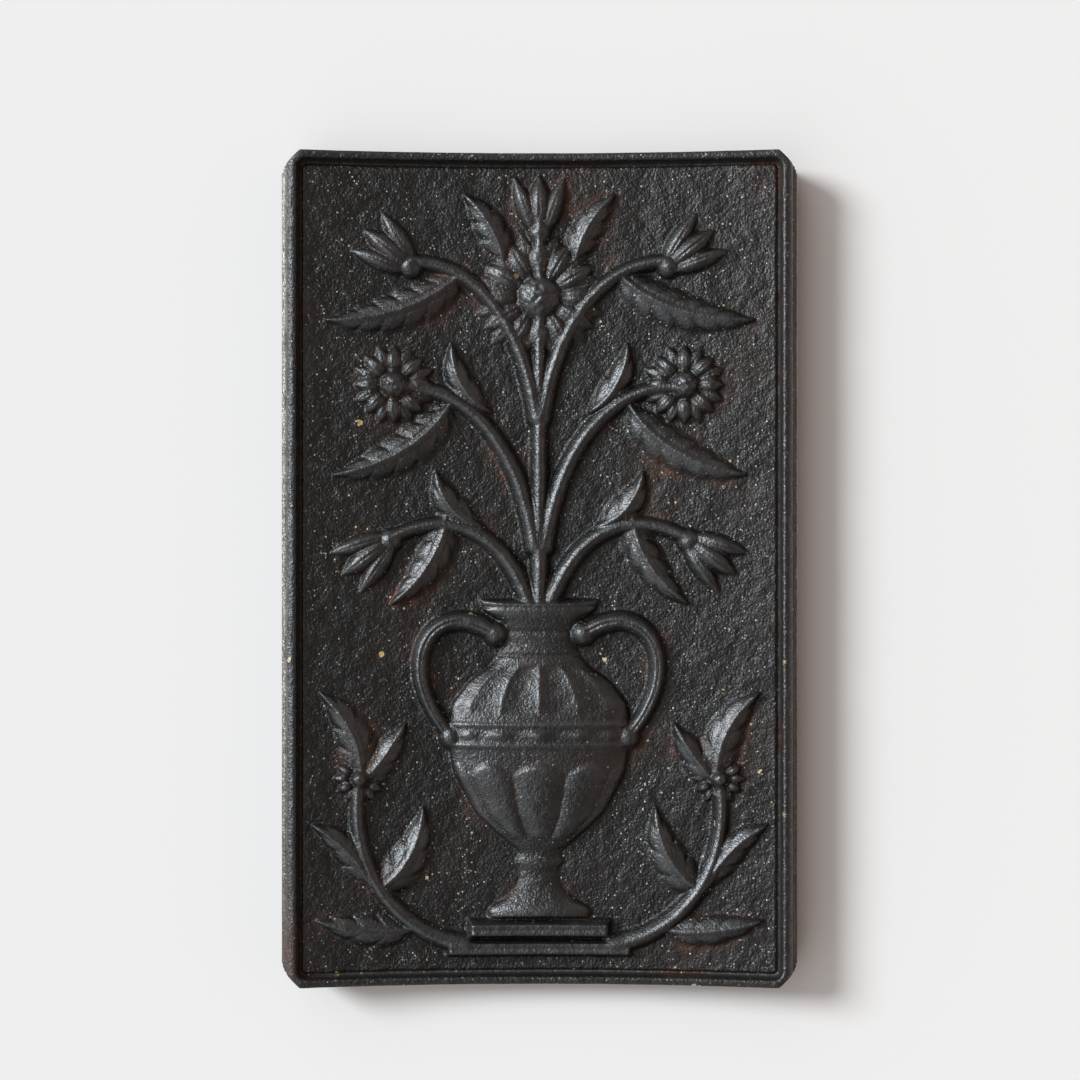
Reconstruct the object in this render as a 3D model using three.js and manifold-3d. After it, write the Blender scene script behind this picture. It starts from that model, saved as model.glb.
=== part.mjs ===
// A free-standing cast-iron fireback, portrait format, hollow-curved from side to side.
// The casting carries a bead round its face and an urn of flowers in high relief. Two steel stays
// hang in the hollow of its back, each on a pivot bolt in a folded bracket, and swing out so that
// the plate leans back on them. Millimetres: X runs across the plate, +Y from its face to the
// wall, +Z up from the hearth. The origin is the middle of the foot.
import * as THREE from "three";
import { mergeVertices } from "three/addons/utils/BufferGeometryUtils.js";
import Module from "manifold-3d";

// The plate casting
const plateWidth = 400;
const plateHeight = 644;
const plateDepth = 40;
const cornerCut = 16; // each corner is clipped at 45 degrees by this much
const faceHollow = 16; // how far the middle of the face lies behind its sides
const sheetThickness = 7.5;
const bowSteps = 28; // flats round the hollow curve

// The bead round the face, and the stepped moulding outside it on the two sides
const beadHeight = 7; // from the field to the bead's crest
const beadReach = 5.2; // from the crest to the foot of the bead, on each side of it
const sideLedge = 1.6; // width of each ledge of the side moulding
const sideLedgeDrops = [19, 12, 7.5]; // how far behind the crest each ledge lies
const endCrestInset = 4.2; // from the top and bottom edges to the bead's crest
const beadArcSteps = 5;
const quirkWidth = 1.4; // the fine groove between the bead and the field

// The two flanges behind the sides, which meet the wall
const flangeThickness = 9;
const flangeDraft = 3; // extra thickness at the root
const rootFillet = 6;

// The pads cast on the back, where the brackets are screwed on
const padMargin = 2; // pad beyond the bracket, all round
const padProud = 0.6; // least height of a pad over the back
const screwHoleDepth = 6.5;

// The folded steel brackets
const bracketSheet = 2.5;
const bracketWidth = 42;
const bracketHeight = 58;
const bracketInset = 65; // from the plate's sides to the stays
const pivotHeight = 430; // from the hearth to the pivot bolts
const earTip = 5.8; // radius of the ears round the pivot

// The stays: flat steel bars on edge
const stayThickness = 5;
const stayWidth = 10.6;
const stayFootClearance = 6; // from the folded stay's foot to the hearth
const openAngle = 20; // degrees from folded to the stop
const headReach = 6.2; // from the pivot to the top of the stay's head

// Bolts, screws, washers and nuts, with hexagon heads
const boltDiameter = 6;
const hexAcrossFlats = 10;
const screwHeadHeight = 4;
const screwLength = 8; // under the head
const screwRise = 20; // from the pivot up to one screw and down to two
const screwSpread = 27; // between the lower two, clear of the stay
const nutHeight = 5;
const boltEnd = 1.8; // thread past the nut
const washerDiameter = 11;
const washerThickness = 1.2;
const roundSides = 20;

// Clearances
const slideClearance = 0.5; // between a stay and an ear
const foldClearance = 0.3; // between a stay and the bracket's base or stop
const holeClearance = 0.3;
const threadClearance = 0.12;

// The relief. Its drawing is laid out on a field of this size and follows the real field.
const drawnWidth = 366;
const drawnHeight = 626;
const reliefSink = 3; // how far the relief runs into the sheet
const stemWidth = 16;
const stemHeight = 9.5;
const stemSteps = 9; // lengths along a stem
const stemSides = 6;
const handleWidth = 17;
const handleHeight = 11;
const leafHeight = 9;
const urnFoot = 40; // drawn height of the urn's foot over the field's lower edge
const urnFlatness = 0.27; // depth of the urn against half its width
const petalHeight = 8.5;
const heartRise = 1.6; // height of a flower's heart against its petals
const heartShare = 0.42; // of the flower's radius, as are the next three
const petalReach = 0.62;
const petalHalfWidth = 0.26;
const petalHalfLength = 0.38;
const budLength = 52;
const budWidth = 42;
const budSpread = 0.3; // radians between a bud's petals
const plinthSlices = 6;
const lumpSides = 6;
const urnSides = 16;

const wasm = await Module();
wasm.setup();

const radians = Math.PI / 180;
const face = -plateDepth / 2; // the plane of the bead's crest at the sides
const wall = plateDepth / 2; // the plane of the flanges' backs
const crestX = plateWidth / 2 - sideLedge * sideLedgeDrops.length - beadReach;
const fieldX = crestX - beadReach - quirkWidth; // half the width of the field
const fieldBottom = endCrestInset + beadReach + quirkWidth;
const fieldTop = plateHeight - fieldBottom;
const bowRadius = (fieldX * fieldX + faceHollow * faceHollow) / (2 * faceHollow);
const bracketX = plateWidth / 2 - bracketInset;

// How far back the hollow curve lies at x, counted from the sides of the field.
function bow(x) {
  const inside = Math.min(Math.abs(x), fieldX);
  return Math.sqrt(bowRadius * bowRadius - inside * inside) - (bowRadius - faceHollow);
}

function fieldAt(x) {
  return face + beadHeight + bow(x);
}

function backAt(x) {
  return fieldAt(x) + sheetThickness;
}

// Solids and meshes

function toSolid(geometry) {
  const bare = geometry.index ? geometry.toNonIndexed() : geometry.clone();
  for (const name of Object.keys(bare.attributes)) {
    if (name !== "position") {
      bare.deleteAttribute(name);
    }
  }
  const merged = mergeVertices(bare, 1e-4);
  return new wasm.Manifold(
    new wasm.Mesh({
      numProp: 3,
      vertProperties: merged.attributes.position.array,
      triVerts: new Uint32Array(merged.index.array),
    }),
  );
}

function toGeometry(solid) {
  const mesh = solid.getMesh();
  const positions = new Float32Array(mesh.numVert * 3);
  for (let i = 0; i < mesh.numVert; i += 1) {
    for (let k = 0; k < 3; k += 1) {
      positions[3 * i + k] = mesh.vertProperties[mesh.numProp * i + k];
    }
  }
  const geometry = new THREE.BufferGeometry();
  geometry.setAttribute("position", new THREE.BufferAttribute(positions, 3));
  geometry.setIndex(new THREE.BufferAttribute(new Uint32Array(mesh.triVerts), 1));
  geometry.computeVertexNormals();
  return geometry;
}

function union(solids) {
  return solids.reduce((whole, next) => whole.add(next));
}

function box(x0, x1, y0, y1, z0, z1) {
  const geometry = new THREE.BoxGeometry(x1 - x0, y1 - y0, z1 - z0);
  geometry.translate((x0 + x1) / 2, (y0 + y1) / 2, (z0 + z1) / 2);
  return geometry;
}

// An outline drawn in the XZ plane, carried along Y from y0 to y1.
function upright(shape, y0, y1) {
  const geometry = new THREE.ExtrudeGeometry(shape, { depth: y1 - y0, bevelEnabled: false });
  geometry.rotateX(Math.PI / 2);
  geometry.translate(0, y1, 0);
  return geometry;
}

// A cylinder or hexagon with its axis along X or Y, from start to start + length.
function rod(radius, start, length, axis, sides = roundSides) {
  const geometry = new THREE.CylinderGeometry(radius, radius, length, sides);
  geometry.translate(0, start + length / 2, 0);
  if (axis === "x") {
    geometry.rotateZ(-Math.PI / 2);
  }
  return geometry;
}

// A hexagon head or nut. Its corners point up and down, so a flat faces the plate.
function hexagon(start, length, axis) {
  return rod(hexAcrossFlats / 2 / Math.cos(30 * radians), start, length, axis, 6);
}

// The same form the other way round along one axis, with its faces turned back outwards.
function mirrored(geometry, axis = "x") {
  const copy = geometry.index ? geometry.toNonIndexed() : geometry.clone();
  const at = copy.attributes.position;
  const flips = { x: [-1, 1, 1], y: [1, -1, 1], z: [1, 1, -1] };
  copy.scale(...flips[axis]);
  for (let i = 0; i < at.count; i += 3) {
    for (let k = 0; k < 3; k += 1) {
      const kept = at.getComponent(i + 1, k);
      at.setComponent(i + 1, k, at.getComponent(i + 2, k));
      at.setComponent(i + 2, k, kept);
    }
  }
  return copy;
}

// Points along the hollow curve from one x to another, in equal steps.
function bowed(x0, x1, yAt) {
  const points = [];
  for (let i = 0; i <= bowSteps; i += 1) {
    const x = x0 + ((x1 - x0) * i) / bowSteps;
    points.push([x, yAt(x)]);
  }
  return points;
}

// A plan, drawn in X and Y, carried up from one height to another.
function raisedPlan(points, low, high) {
  const shape = new THREE.Shape(points.map(([x, y]) => new THREE.Vector2(x, y)));
  const geometry = new THREE.ExtrudeGeometry(shape, { depth: high - low, bevelEnabled: false });
  geometry.translate(0, 0, low);
  return geometry;
}

// Moves every point of a flat relief form back with the hollow curve of the field.
function followBow(geometry) {
  const at = geometry.attributes.position;
  for (let i = 0; i < at.count; i += 1) {
    at.setY(i, at.getY(i) + fieldAt(at.getX(i)));
  }
  return geometry;
}

// The plate casting

// The plan of the right side, from the wall to the field: flange, ledges, bead and cove.
function sidePlan() {
  const points = [];
  let x = plateWidth / 2;
  points.push([x, wall]);
  for (const drop of sideLedgeDrops) {
    points.push([x, face + drop]);
    x -= sideLedge;
    points.push([x, face + drop - sideLedge / 2]);
  }
  points.push(...beadArc(x - beadReach, 1));
  return points;
}

// The bead's round, from its outer foot over its crest to its inner foot. The direction is
// +1 where the outside lies towards larger values, and -1 the other way.
function beadArc(crest, direction) {
  const points = [];
  const foot = face + beadHeight;
  for (let i = 0; i <= beadArcSteps * 2; i += 1) {
    const turn = (i / (beadArcSteps * 2)) * Math.PI;
    const along = crest + direction * beadReach * Math.cos(turn);
    points.push([along, foot - beadHeight * Math.sin(turn)]);
  }
  return points.slice(1, -1);
}

function castSection() {
  const right = sidePlan();
  const left = right.map(([x, y]) => [-x, y]).reverse();
  const innerBack = plateWidth / 2 - flangeThickness;
  const innerRoot = innerBack - flangeDraft;
  const rootY = backAt(innerRoot) + rootFillet;
  const backX = innerRoot - rootFillet;
  const outline = [
    ...right,
    ...bowed(fieldX, -fieldX, fieldAt),
    ...left,
    [-innerBack, wall],
    [-innerRoot, rootY],
    ...bowed(-backX, backX, backAt),
    [innerRoot, rootY],
    [innerBack, wall],
  ];
  return raisedPlan(outline, 0, plateHeight);
}

// The bead along the bottom edge, drawn in depth and height and carried across the plate.
function endBead() {
  const shape = new THREE.Shape();
  const arc = beadArc(endCrestInset, -1).map(([z, y]) => [Math.max(z, 0), y - face]);
  const back = beadHeight + reliefSink;
  shape.moveTo(back, 0);
  for (const [z, y] of arc) {
    shape.lineTo(y, z);
  }
  shape.lineTo(beadHeight, endCrestInset + beadReach);
  shape.lineTo(back, endCrestInset + beadReach + quirkWidth);
  const geometry = new THREE.ExtrudeGeometry(shape, {
    depth: 2 * crestX,
    steps: bowSteps,
    bevelEnabled: false,
  });
  // The drawing's first axis becomes Y, its second Z, and the carried one X.
  geometry.applyMatrix4(new THREE.Matrix4().set(0, 0, 1, -crestX, 1, 0, 0, 0, 0, 1, 0, 0, 0, 0, 0, 1));
  geometry.translate(0, -beadHeight, 0);
  return followBow(geometry);
}

function clippedOutline() {
  const side = plateWidth / 2;
  return new THREE.Shape([
    new THREE.Vector2(-side + cornerCut, 0),
    new THREE.Vector2(side - cornerCut, 0),
    new THREE.Vector2(side, cornerCut),
    new THREE.Vector2(side, plateHeight - cornerCut),
    new THREE.Vector2(side - cornerCut, plateHeight),
    new THREE.Vector2(-side + cornerCut, plateHeight),
    new THREE.Vector2(-side, plateHeight - cornerCut),
    new THREE.Vector2(-side, cornerCut),
  ]);
}

// The relief: each form is drawn flat on the plane y = 0, standing towards -Y

function onField(x, z) {
  return new THREE.Vector3(
    (x * 2 * fieldX) / drawnWidth,
    0,
    fieldBottom + (z * (fieldTop - fieldBottom)) / drawnHeight,
  );
}

// A round stem along a curve of four drawn points.
function stem(points, width = stemWidth, height = stemHeight) {
  const curve = new THREE.CubicBezierCurve3(...points.map(([x, z]) => onField(x, z)));
  const section = new THREE.Shape();
  for (let i = 0; i < stemSides; i += 1) {
    const turn = (i / stemSides) * 2 * Math.PI;
    section[i === 0 ? "moveTo" : "lineTo"](
      (Math.cos(turn) * width) / 2,
      (Math.sin(turn) * width) / 2,
    );
  }
  const geometry = new THREE.ExtrudeGeometry(section, { extrudePath: curve, steps: stemSteps });
  geometry.scale(1, (2 * height) / width, 1);
  return geometry;
}

// A half-round lump of the given half width, height off the field and half length. Its length
// points up and is turned clockwise, seen from the front.
function lump(centre, halfWidth, height, halfLength, turn = 0, bend = 0) {
  const geometry = new THREE.SphereGeometry(1, lumpSides, bend === 0 ? 4 : 8);
  geometry.rotateX(Math.PI / 2);
  geometry.scale(halfWidth, height, halfLength);
  const at = geometry.attributes.position;
  for (let i = 0; i < at.count; i += 1) {
    const along = at.getZ(i) / halfLength;
    at.setX(i, at.getX(i) + bend * (1 - along * along));
  }
  geometry.rotateY(turn);
  geometry.translate(centre.x, 0, centre.z);
  return geometry;
}

// A long leaf from base to tip, bowed to its right where bend is above 0.
function leaf(base, tip, width, bend) {
  const from = onField(...base);
  const to = onField(...tip);
  const turn = Math.atan2(to.x - from.x, to.z - from.z);
  const middle = from.clone().add(to).multiplyScalar(0.5);
  middle.x -= (bend / 2) * Math.cos(turn);
  middle.z += (bend / 2) * Math.sin(turn);
  return lump(middle, width / 2, leafHeight, from.distanceTo(to) / 2, turn, bend);
}

function flower(centre, radius, petals) {
  const middle = onField(...centre);
  const heart = radius * heartShare;
  const forms = [lump(middle, heart, petalHeight * heartRise, heart)];
  for (let i = 0; i < petals; i += 1) {
    const turn = (i / petals) * 2 * Math.PI;
    const out = new THREE.Vector3(Math.sin(turn), 0, Math.cos(turn));
    const at = out.multiplyScalar(radius * petalReach).add(middle);
    forms.push(lump(at, radius * petalHalfWidth, petalHeight, radius * petalHalfLength, turn));
  }
  return forms;
}

// A tulip-shaped bud of three petals, pointing the way that turn gives from upright.
function bud(centre, turn) {
  const across = new THREE.Vector3(Math.cos(turn), 0, -Math.sin(turn));
  return [-1, 0, 1].map((side) => {
    const at = onField(...centre).addScaledVector(across, (side * budWidth) / 4);
    const height = petalHeight + 1 - Math.abs(side);
    return lump(at, budWidth / 4, height, budLength / 2, turn + side * budSpread);
  });
}

function urn() {
  const profile = urnHalfWidths.map(([halfWidth, height]) => {
    const at = onField(halfWidth, urnFoot + height);
    return new THREE.Vector2(at.x, at.z);
  });
  profile.unshift(new THREE.Vector2(0, profile[0].y));
  profile.push(new THREE.Vector2(0, profile[profile.length - 1].y));
  const geometry = new THREE.LatheGeometry(profile, urnSides);
  geometry.rotateX(Math.PI / 2);
  geometry.scale(1, urnFlatness, 1);
  return geometry;
}

function plinth() {
  return plinthSteps.map(([halfWidth, low, high, height]) => {
    const from = onField(-halfWidth, low);
    const to = onField(halfWidth, high);
    const size = [to.x - from.x, height + reliefSink, to.z - from.z];
    const step = new THREE.BoxGeometry(...size, plinthSlices, 1, 1);
    return step.translate(0, (reliefSink - height) / 2, (from.z + to.z) / 2);
  });
}

// The drawing. The urn is given by half width and height over its foot, and the plinth's steps
// by half width, lower and upper edge and height off the field.
const urnHalfWidths = [
  [40, 0], [40, 8], [30, 13], [16, 24], [13, 38], [20, 44], [14, 51], [24, 58], [50, 82],
  [66, 112], [72, 142], [68, 168], [54, 186], [36, 198], [27, 214], [30, 230], [44, 240],
  [46, 248],
];
const plinthSteps = [
  [72, 10, 24, 9],
  [56, 24, 40, 12],
];
const middleStem = [[0, 285], [0, 360], [0, 440], [0, 590]];
const rosette = [[0, 525], 50, 12]; // flowers by centre, radius and number of petals
const topBud = [[0, 594], 0]; // buds by centre and turn

// The right-hand half: stems by four points, leaves by base, tip, width and bend.
const sideStems = [
  [[8, 285], [26, 338], [64, 362], [112, 338]],
  [[4, 330], [14, 402], [52, 456], [104, 454]],
  [[2, 430], [12, 500], [46, 552], [98, 552]],
  [[56, 20], [104, 26], [150, 74], [138, 150]],
];
const handle = [[34, 262], [84, 296], [116, 236], [68, 182]];
const leaves = [
  [[46, 346], [80, 388], 26, 12],
  [[72, 356], [114, 286], 28, 14],
  [[40, 436], [68, 488], 24, 12],
  [[70, 440], [158, 386], 32, 18],
  [[28, 552], [58, 604], 26, -8],
  [[60, 544], [164, 506], 32, 18],
  [[98, 32], [170, 40], 26, 6],
  [[130, 66], [174, 114], 26, -10],
  [[128, 62], [90, 126], 30, -16],
  [[138, 146], [168, 216], 30, -16],
  [[138, 146], [104, 192], 24, -4],
];
const sideFlowers = [
  [[112, 456], 32, 8],
  [[138, 150], 21, 6],
];
const sideBuds = [
  [[130, 324], 2.2],
  [[114, 560], 0.9],
];

function relief() {
  const half = [
    ...sideStems.map((points) => stem(points)),
    stem(handle, handleWidth, handleHeight),
    ...leaves.map(([base, tip, width, bend]) => leaf(base, tip, width, bend)),
    ...sideFlowers.flatMap((drawn) => flower(...drawn)),
    ...sideBuds.flatMap((drawn) => bud(...drawn)),
  ];
  const middle = [
    stem(middleStem),
    urn(),
    ...plinth(),
    ...flower(...rosette),
    ...bud(...topBud),
  ];
  const forms = [...middle, ...half, ...half.map((form) => mirrored(form))];
  const raised = union(forms.map((form) => toSolid(followBow(form))));
  const room = [
    [-fieldX, face],
    [fieldX, face],
    ...bowed(fieldX, -fieldX, (x) => fieldAt(x) + reliefSink),
  ];
  return raised.intersect(toSolid(raisedPlan(room, fieldBottom, fieldTop)));
}

// The back of the plate, where the brackets sit

const padInner = bracketX - bracketWidth / 2 - padMargin;
const padPlane = backAt(padInner) + padProud;
const baseBack = padPlane + bracketSheet;
const widestOnPivot = Math.max(stayWidth, washerDiameter, hexAcrossFlats);
const pivotY = baseBack + foldClearance + widestOnPivot / 2;
const screwPlaces = [
  ["upper", 0, screwRise],
  ["lower_inner", -screwSpread / 2, -screwRise],
  ["lower_outer", screwSpread / 2, -screwRise],
];
const sides = [
  ["left", -1],
  ["right", 1],
];

function pad(direction) {
  const x = direction * bracketX;
  const halfWidth = bracketWidth / 2 + padMargin;
  const halfHeight = bracketHeight / 2 + padMargin;
  const outline = [
    ...bowed(x - halfWidth, x + halfWidth, (at) => fieldAt(at) + sheetThickness / 2),
    [x + halfWidth, padPlane],
    [x - halfWidth, padPlane],
  ];
  return raisedPlan(outline, pivotHeight - halfHeight, pivotHeight + halfHeight);
}

function tappedHole(x, z) {
  const radius = boltDiameter / 2 + threadClearance;
  return rod(radius, padPlane - screwHoleDepth, screwHoleDepth + 1, "y").translate(x, 0, z);
}

function plate() {
  const topBead = mirrored(endBead(), "z").translate(0, 0, plateHeight);
  let casting = toSolid(castSection()).add(toSolid(endBead())).add(toSolid(topBead)).add(relief());
  casting = casting.intersect(toSolid(upright(clippedOutline(), face - 1, wall + 1)));
  for (const [, direction] of sides) {
    casting = casting.add(toSolid(pad(direction)));
    for (const [, across, rise] of screwPlaces) {
      const x = direction * (bracketX + across);
      casting = casting.subtract(toSolid(tappedHole(x, pivotHeight + rise)));
    }
  }
  return toGeometry(casting);
}

// The stay's drawing, in Y and Z from the pivot, and the bracket's

// The lean at which the foot of the open stay meets the hearth, from the two lengths.
const stayLength = pivotHeight - stayFootClearance;
const rearEdge = backAt(0) - pivotY;
const leanAngle = Math.atan2(
  pivotHeight - stayLength * Math.cos(openAngle * radians),
  stayLength * Math.sin(openAngle * radians) - rearEdge,
);
const footSlope = Math.tan(openAngle * radians - leanAngle);

// An outline drawn in the YZ plane, carried along X over the given thickness from start.
function sideways(shape, start, thickness) {
  const geometry = new THREE.ExtrudeGeometry(shape, {
    depth: thickness,
    bevelEnabled: false,
    curveSegments: 8,
  });
  // The drawing's first axis becomes Y, its second Z, and the carried one X.
  geometry.applyMatrix4(new THREE.Matrix4().set(0, 0, 1, start, 1, 0, 0, 0, 0, 1, 0, 0, 0, 0, 0, 1));
  return geometry;
}

function pivotHole() {
  const hole = new THREE.Path();
  hole.absarc(0, 0, boltDiameter / 2 + holeClearance, 0, 2 * Math.PI, true);
  return hole;
}

// Round towards the plate and square towards the wall, where its corner meets the stop.
function stay() {
  const half = stayWidth / 2;
  const shape = new THREE.Shape();
  shape.moveTo(half, headReach);
  shape.lineTo(0, headReach);
  shape.quadraticCurveTo(-half, headReach, -half, 0);
  shape.lineTo(-half, -stayLength + half * footSlope);
  shape.lineTo(half, -stayLength - half * footSlope);
  shape.closePath();
  shape.holes.push(pivotHole());
  return sideways(shape, -stayThickness / 2, stayThickness);
}

function bracket() {
  const halfWidth = bracketWidth / 2;
  const halfHeight = bracketHeight / 2;
  const base = baseBack - pivotY;
  const inner = stayThickness / 2 + slideClearance;
  const cornerRise =
    (stayWidth / 2) * Math.sin(openAngle * radians) + headReach * Math.cos(openAngle * radians);
  const stop = cornerRise + foldClearance;
  const earTop = stop + bracketSheet;
  const ear = new THREE.Shape();
  ear.moveTo(base - bracketSheet / 2, -earTip);
  ear.lineTo(0, -earTip);
  ear.absarc(0, 0, earTip, -Math.PI / 2, 0, false);
  ear.lineTo(earTip, earTop);
  ear.lineTo(base - bracketSheet / 2, earTop);
  ear.closePath();
  ear.holes.push(pivotHole());
  let folded = toSolid(box(-halfWidth, halfWidth, base - bracketSheet, base, -halfHeight, halfHeight));
  folded = folded.add(toSolid(sideways(ear, inner, bracketSheet)));
  folded = folded.add(toSolid(sideways(ear, -inner - bracketSheet, bracketSheet)));
  const webHalf = inner + bracketSheet / 2;
  const web = box(-webHalf, webHalf, base - bracketSheet / 2, earTip, stop, earTop);
  folded = folded.add(toSolid(web));
  for (const [, across, rise] of screwPlaces) {
    const hole = rod(boltDiameter / 2 + holeClearance, base - 2 * bracketSheet, 3 * bracketSheet, "y");
    folded = folded.subtract(toSolid(hole.translate(across, 0, rise)));
  }
  return toGeometry(folded);
}

// Fasteners. Each is drawn along its own axis, with the face under its head at 0.

function hexScrew(length, axis) {
  const shank = rod(boltDiameter / 2, -length, length + screwHeadHeight / 2, axis);
  return toGeometry(toSolid(shank).add(toSolid(hexagon(0, screwHeadHeight, axis))));
}

// A form on the X axis with a round bore right through it.
function bored(form, radius) {
  const reach = nutHeight + washerThickness;
  return toGeometry(toSolid(form).subtract(toSolid(rod(radius, -reach, 2 * reach, "x"))));
}

// The object, put together

const castIron = new THREE.MeshStandardMaterial({ color: 0x232222, roughness: 0.62, metalness: 0.55 });
const blackSteel = new THREE.MeshStandardMaterial({ color: 0x2c2b2b, roughness: 0.5, metalness: 0.7 });
const zincSteel = new THREE.MeshStandardMaterial({ color: 0x7f8184, roughness: 0.4, metalness: 0.9 });

function named(name, geometry, material) {
  const mesh = new THREE.Mesh(geometry, material);
  mesh.name = name;
  return mesh;
}

const fireback = new THREE.Group();
fireback.add(named("plate", plate(), castIron));

for (const [side, direction] of sides) {
  const hinge = new THREE.Group();
  hinge.position.set(direction * bracketX, pivotY, pivotHeight);
  fireback.add(hinge);
  hinge.add(named(`bracket_${side}`, bracket(), blackSteel));
  hinge.add(named(`stay_${side}`, stay(), blackSteel));

  for (const [place, across, rise] of screwPlaces) {
    const screw = named(`screw_${side}_${place}`, hexScrew(screwLength, "y"), zincSteel);
    screw.position.set(direction * across, baseBack - pivotY, rise);
    hinge.add(screw);
  }

  // The bolt goes in from the outside of the plate, with a washer under its head and its nut.
  const earFace = stayThickness / 2 + slideClearance + bracketSheet;
  const headFace = earFace + washerThickness;
  const grip = 2 * headFace;
  const bolt = named(`pivot_bolt_${side}`, hexScrew(grip + nutHeight + boltEnd, "x"), zincSteel);
  bolt.position.x = direction * headFace;
  bolt.rotation.z = direction < 0 ? Math.PI : 0;
  hinge.add(bolt);
  const nutBore = boltDiameter / 2 + threadClearance;
  const nut = named(
    `pivot_nut_${side}`,
    bored(hexagon(-nutHeight / 2, nutHeight, "x"), nutBore),
    zincSteel,
  );
  nut.position.x = -direction * (headFace + nutHeight / 2);
  hinge.add(nut);
  for (const [place, way] of [["head", 1], ["nut", -1]]) {
    const washer = named(
      `pivot_washer_${side}_${place}`,
      bored(
        rod(washerDiameter / 2, -washerThickness / 2, washerThickness, "x"),
        boltDiameter / 2 + holeClearance,
      ),
      zincSteel,
    );
    washer.position.x = direction * way * (earFace + washerThickness / 2);
    hinge.add(washer);
  }
}

export default fireback;
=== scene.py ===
"""A cast-iron fireback, dressed for the picture: one sand-cast plate with a relief on its hollow
face, and the steel stays, brackets and bolts behind it. Metres; X across, +Y to the wall, +Z up."""
import math

import bmesh
import bpy
import numpy as np
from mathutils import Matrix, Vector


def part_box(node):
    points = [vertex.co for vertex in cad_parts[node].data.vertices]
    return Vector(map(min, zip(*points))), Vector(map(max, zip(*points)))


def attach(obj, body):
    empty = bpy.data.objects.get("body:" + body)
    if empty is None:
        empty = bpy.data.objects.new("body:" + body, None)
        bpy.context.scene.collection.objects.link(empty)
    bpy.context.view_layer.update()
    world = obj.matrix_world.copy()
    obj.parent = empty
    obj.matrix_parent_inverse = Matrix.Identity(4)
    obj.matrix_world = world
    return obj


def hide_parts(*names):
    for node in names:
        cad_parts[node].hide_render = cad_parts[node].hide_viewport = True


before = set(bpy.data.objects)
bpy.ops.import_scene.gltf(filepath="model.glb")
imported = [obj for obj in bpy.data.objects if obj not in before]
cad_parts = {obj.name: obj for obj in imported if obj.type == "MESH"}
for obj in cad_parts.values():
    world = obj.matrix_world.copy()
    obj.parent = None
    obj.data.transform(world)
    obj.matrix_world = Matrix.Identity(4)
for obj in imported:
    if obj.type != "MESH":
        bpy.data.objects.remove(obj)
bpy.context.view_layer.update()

# --- The picture: camera, backdrop and lamps --------------------------------------------------
# The plate is seen square-on from about a metre and a half, against a pale ground. One large soft
# lamp stands to the left and a little above, and the ground keeps the plate's shadow.

MM = 0.001
plate_low, plate_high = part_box("plate")
WIDTH = plate_high[0] - plate_low[0]
HEIGHT = plate_high[2] - plate_low[2]
FACE = plate_low[1]
WALL = plate_high[1]

CAMERA_AWAY = 1.55
CAMERA_ASIDE = 0.0004
CAMERA_RISE = 0.0221  # the camera's height over the middle of the plate
PLATE_SHARE = 515 / 1080  # the plate's width against the picture's
LENS_SENSOR = 36.0

scene = bpy.context.scene
scene.view_settings.view_transform = "Standard"


def put(name, data):
    """An object of the given data, in the scene."""
    made = bpy.data.objects.new(name, data)
    scene.collection.objects.link(made)
    return made


camera_data = bpy.data.cameras.new("picture_camera")
camera_data.sensor_width = LENS_SENSOR
camera_data.lens = LENS_SENSOR * PLATE_SHARE * CAMERA_AWAY / WIDTH
camera = put("picture_camera", camera_data)
camera.location = (CAMERA_ASIDE, -CAMERA_AWAY, HEIGHT / 2 + CAMERA_RISE)
camera.rotation_euler = (math.radians(90), 0, 0)
scene.camera = camera


def node(tree, kind, **values):
    """A shader node, or a group's own, of a kind. A value named in_NAME or in_NUMBER goes to that
    input: a number or a colour is set, a socket is linked, and a node is linked by its first
    output. Any other value sets a property of the node."""
    made = tree.nodes.new(kind if "Node" in kind else "ShaderNode" + kind)
    for key, value in values.items():
        if not key.startswith("in_"):
            setattr(made, key, value)
            continue
        label = key[3:].replace("_", " ")
        socket = made.inputs[int(label) if label.isdigit() else label]
        if isinstance(value, bpy.types.Node):
            value = value.outputs[0]
        if isinstance(value, bpy.types.NodeSocket):
            tree.links.new(value, socket)
        else:
            socket.default_value = value
    return made


def maths(tree, operation, result, *others, clamp=False):
    """Numbers, sockets or nodes taken together by one operation, from the first to the last."""
    for other in others:
        values = {"in_0": result, "in_1": other}
        result = node(tree, "Math", operation=operation, use_clamp=clamp, **values)
    return result


def times(tree, *values):
    """The product of numbers, sockets or nodes."""
    return maths(tree, "MULTIPLY", *values)


def spread(tree, value, low, high, out_low=0.0, out_high=1.0):
    """A smooth step from out_low to out_high as the value goes from low to high."""
    kind = {"interpolation_type": "SMOOTHSTEP", "in_0": value, "in_1": low, "in_2": high}
    return node(tree, "MapRange", **kind, in_3=out_low, in_4=out_high)


# The room is dim and warm where the camera stands, bright and cool towards the window on the left,
# with a fill from the far right. Each edge is a pair of direction cosines between which a light
# comes or goes. The pale tone is what lies behind the plate and round it.
WINDOW_TINT = (0.93, 0.975, 1.0, 1)
ROOM_TINT = (1.0, 0.74, 0.60, 1)
PALE_TONE = (0.871, 0.871, 0.871, 1)
AMBIENT_LEFT = 0.98
AMBIENT_RIGHT = 0.11
AMBIENT_FILL = 0.50
AMBIENT_CEILING = 0.16
WINDOW_EDGE = (-0.45, 0.18)
FILL_EDGE = (0.45, 0.9)
CEILING_EDGE = (0.35, 0.85)
PALE_EDGE = (-0.5, 0.1)

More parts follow.
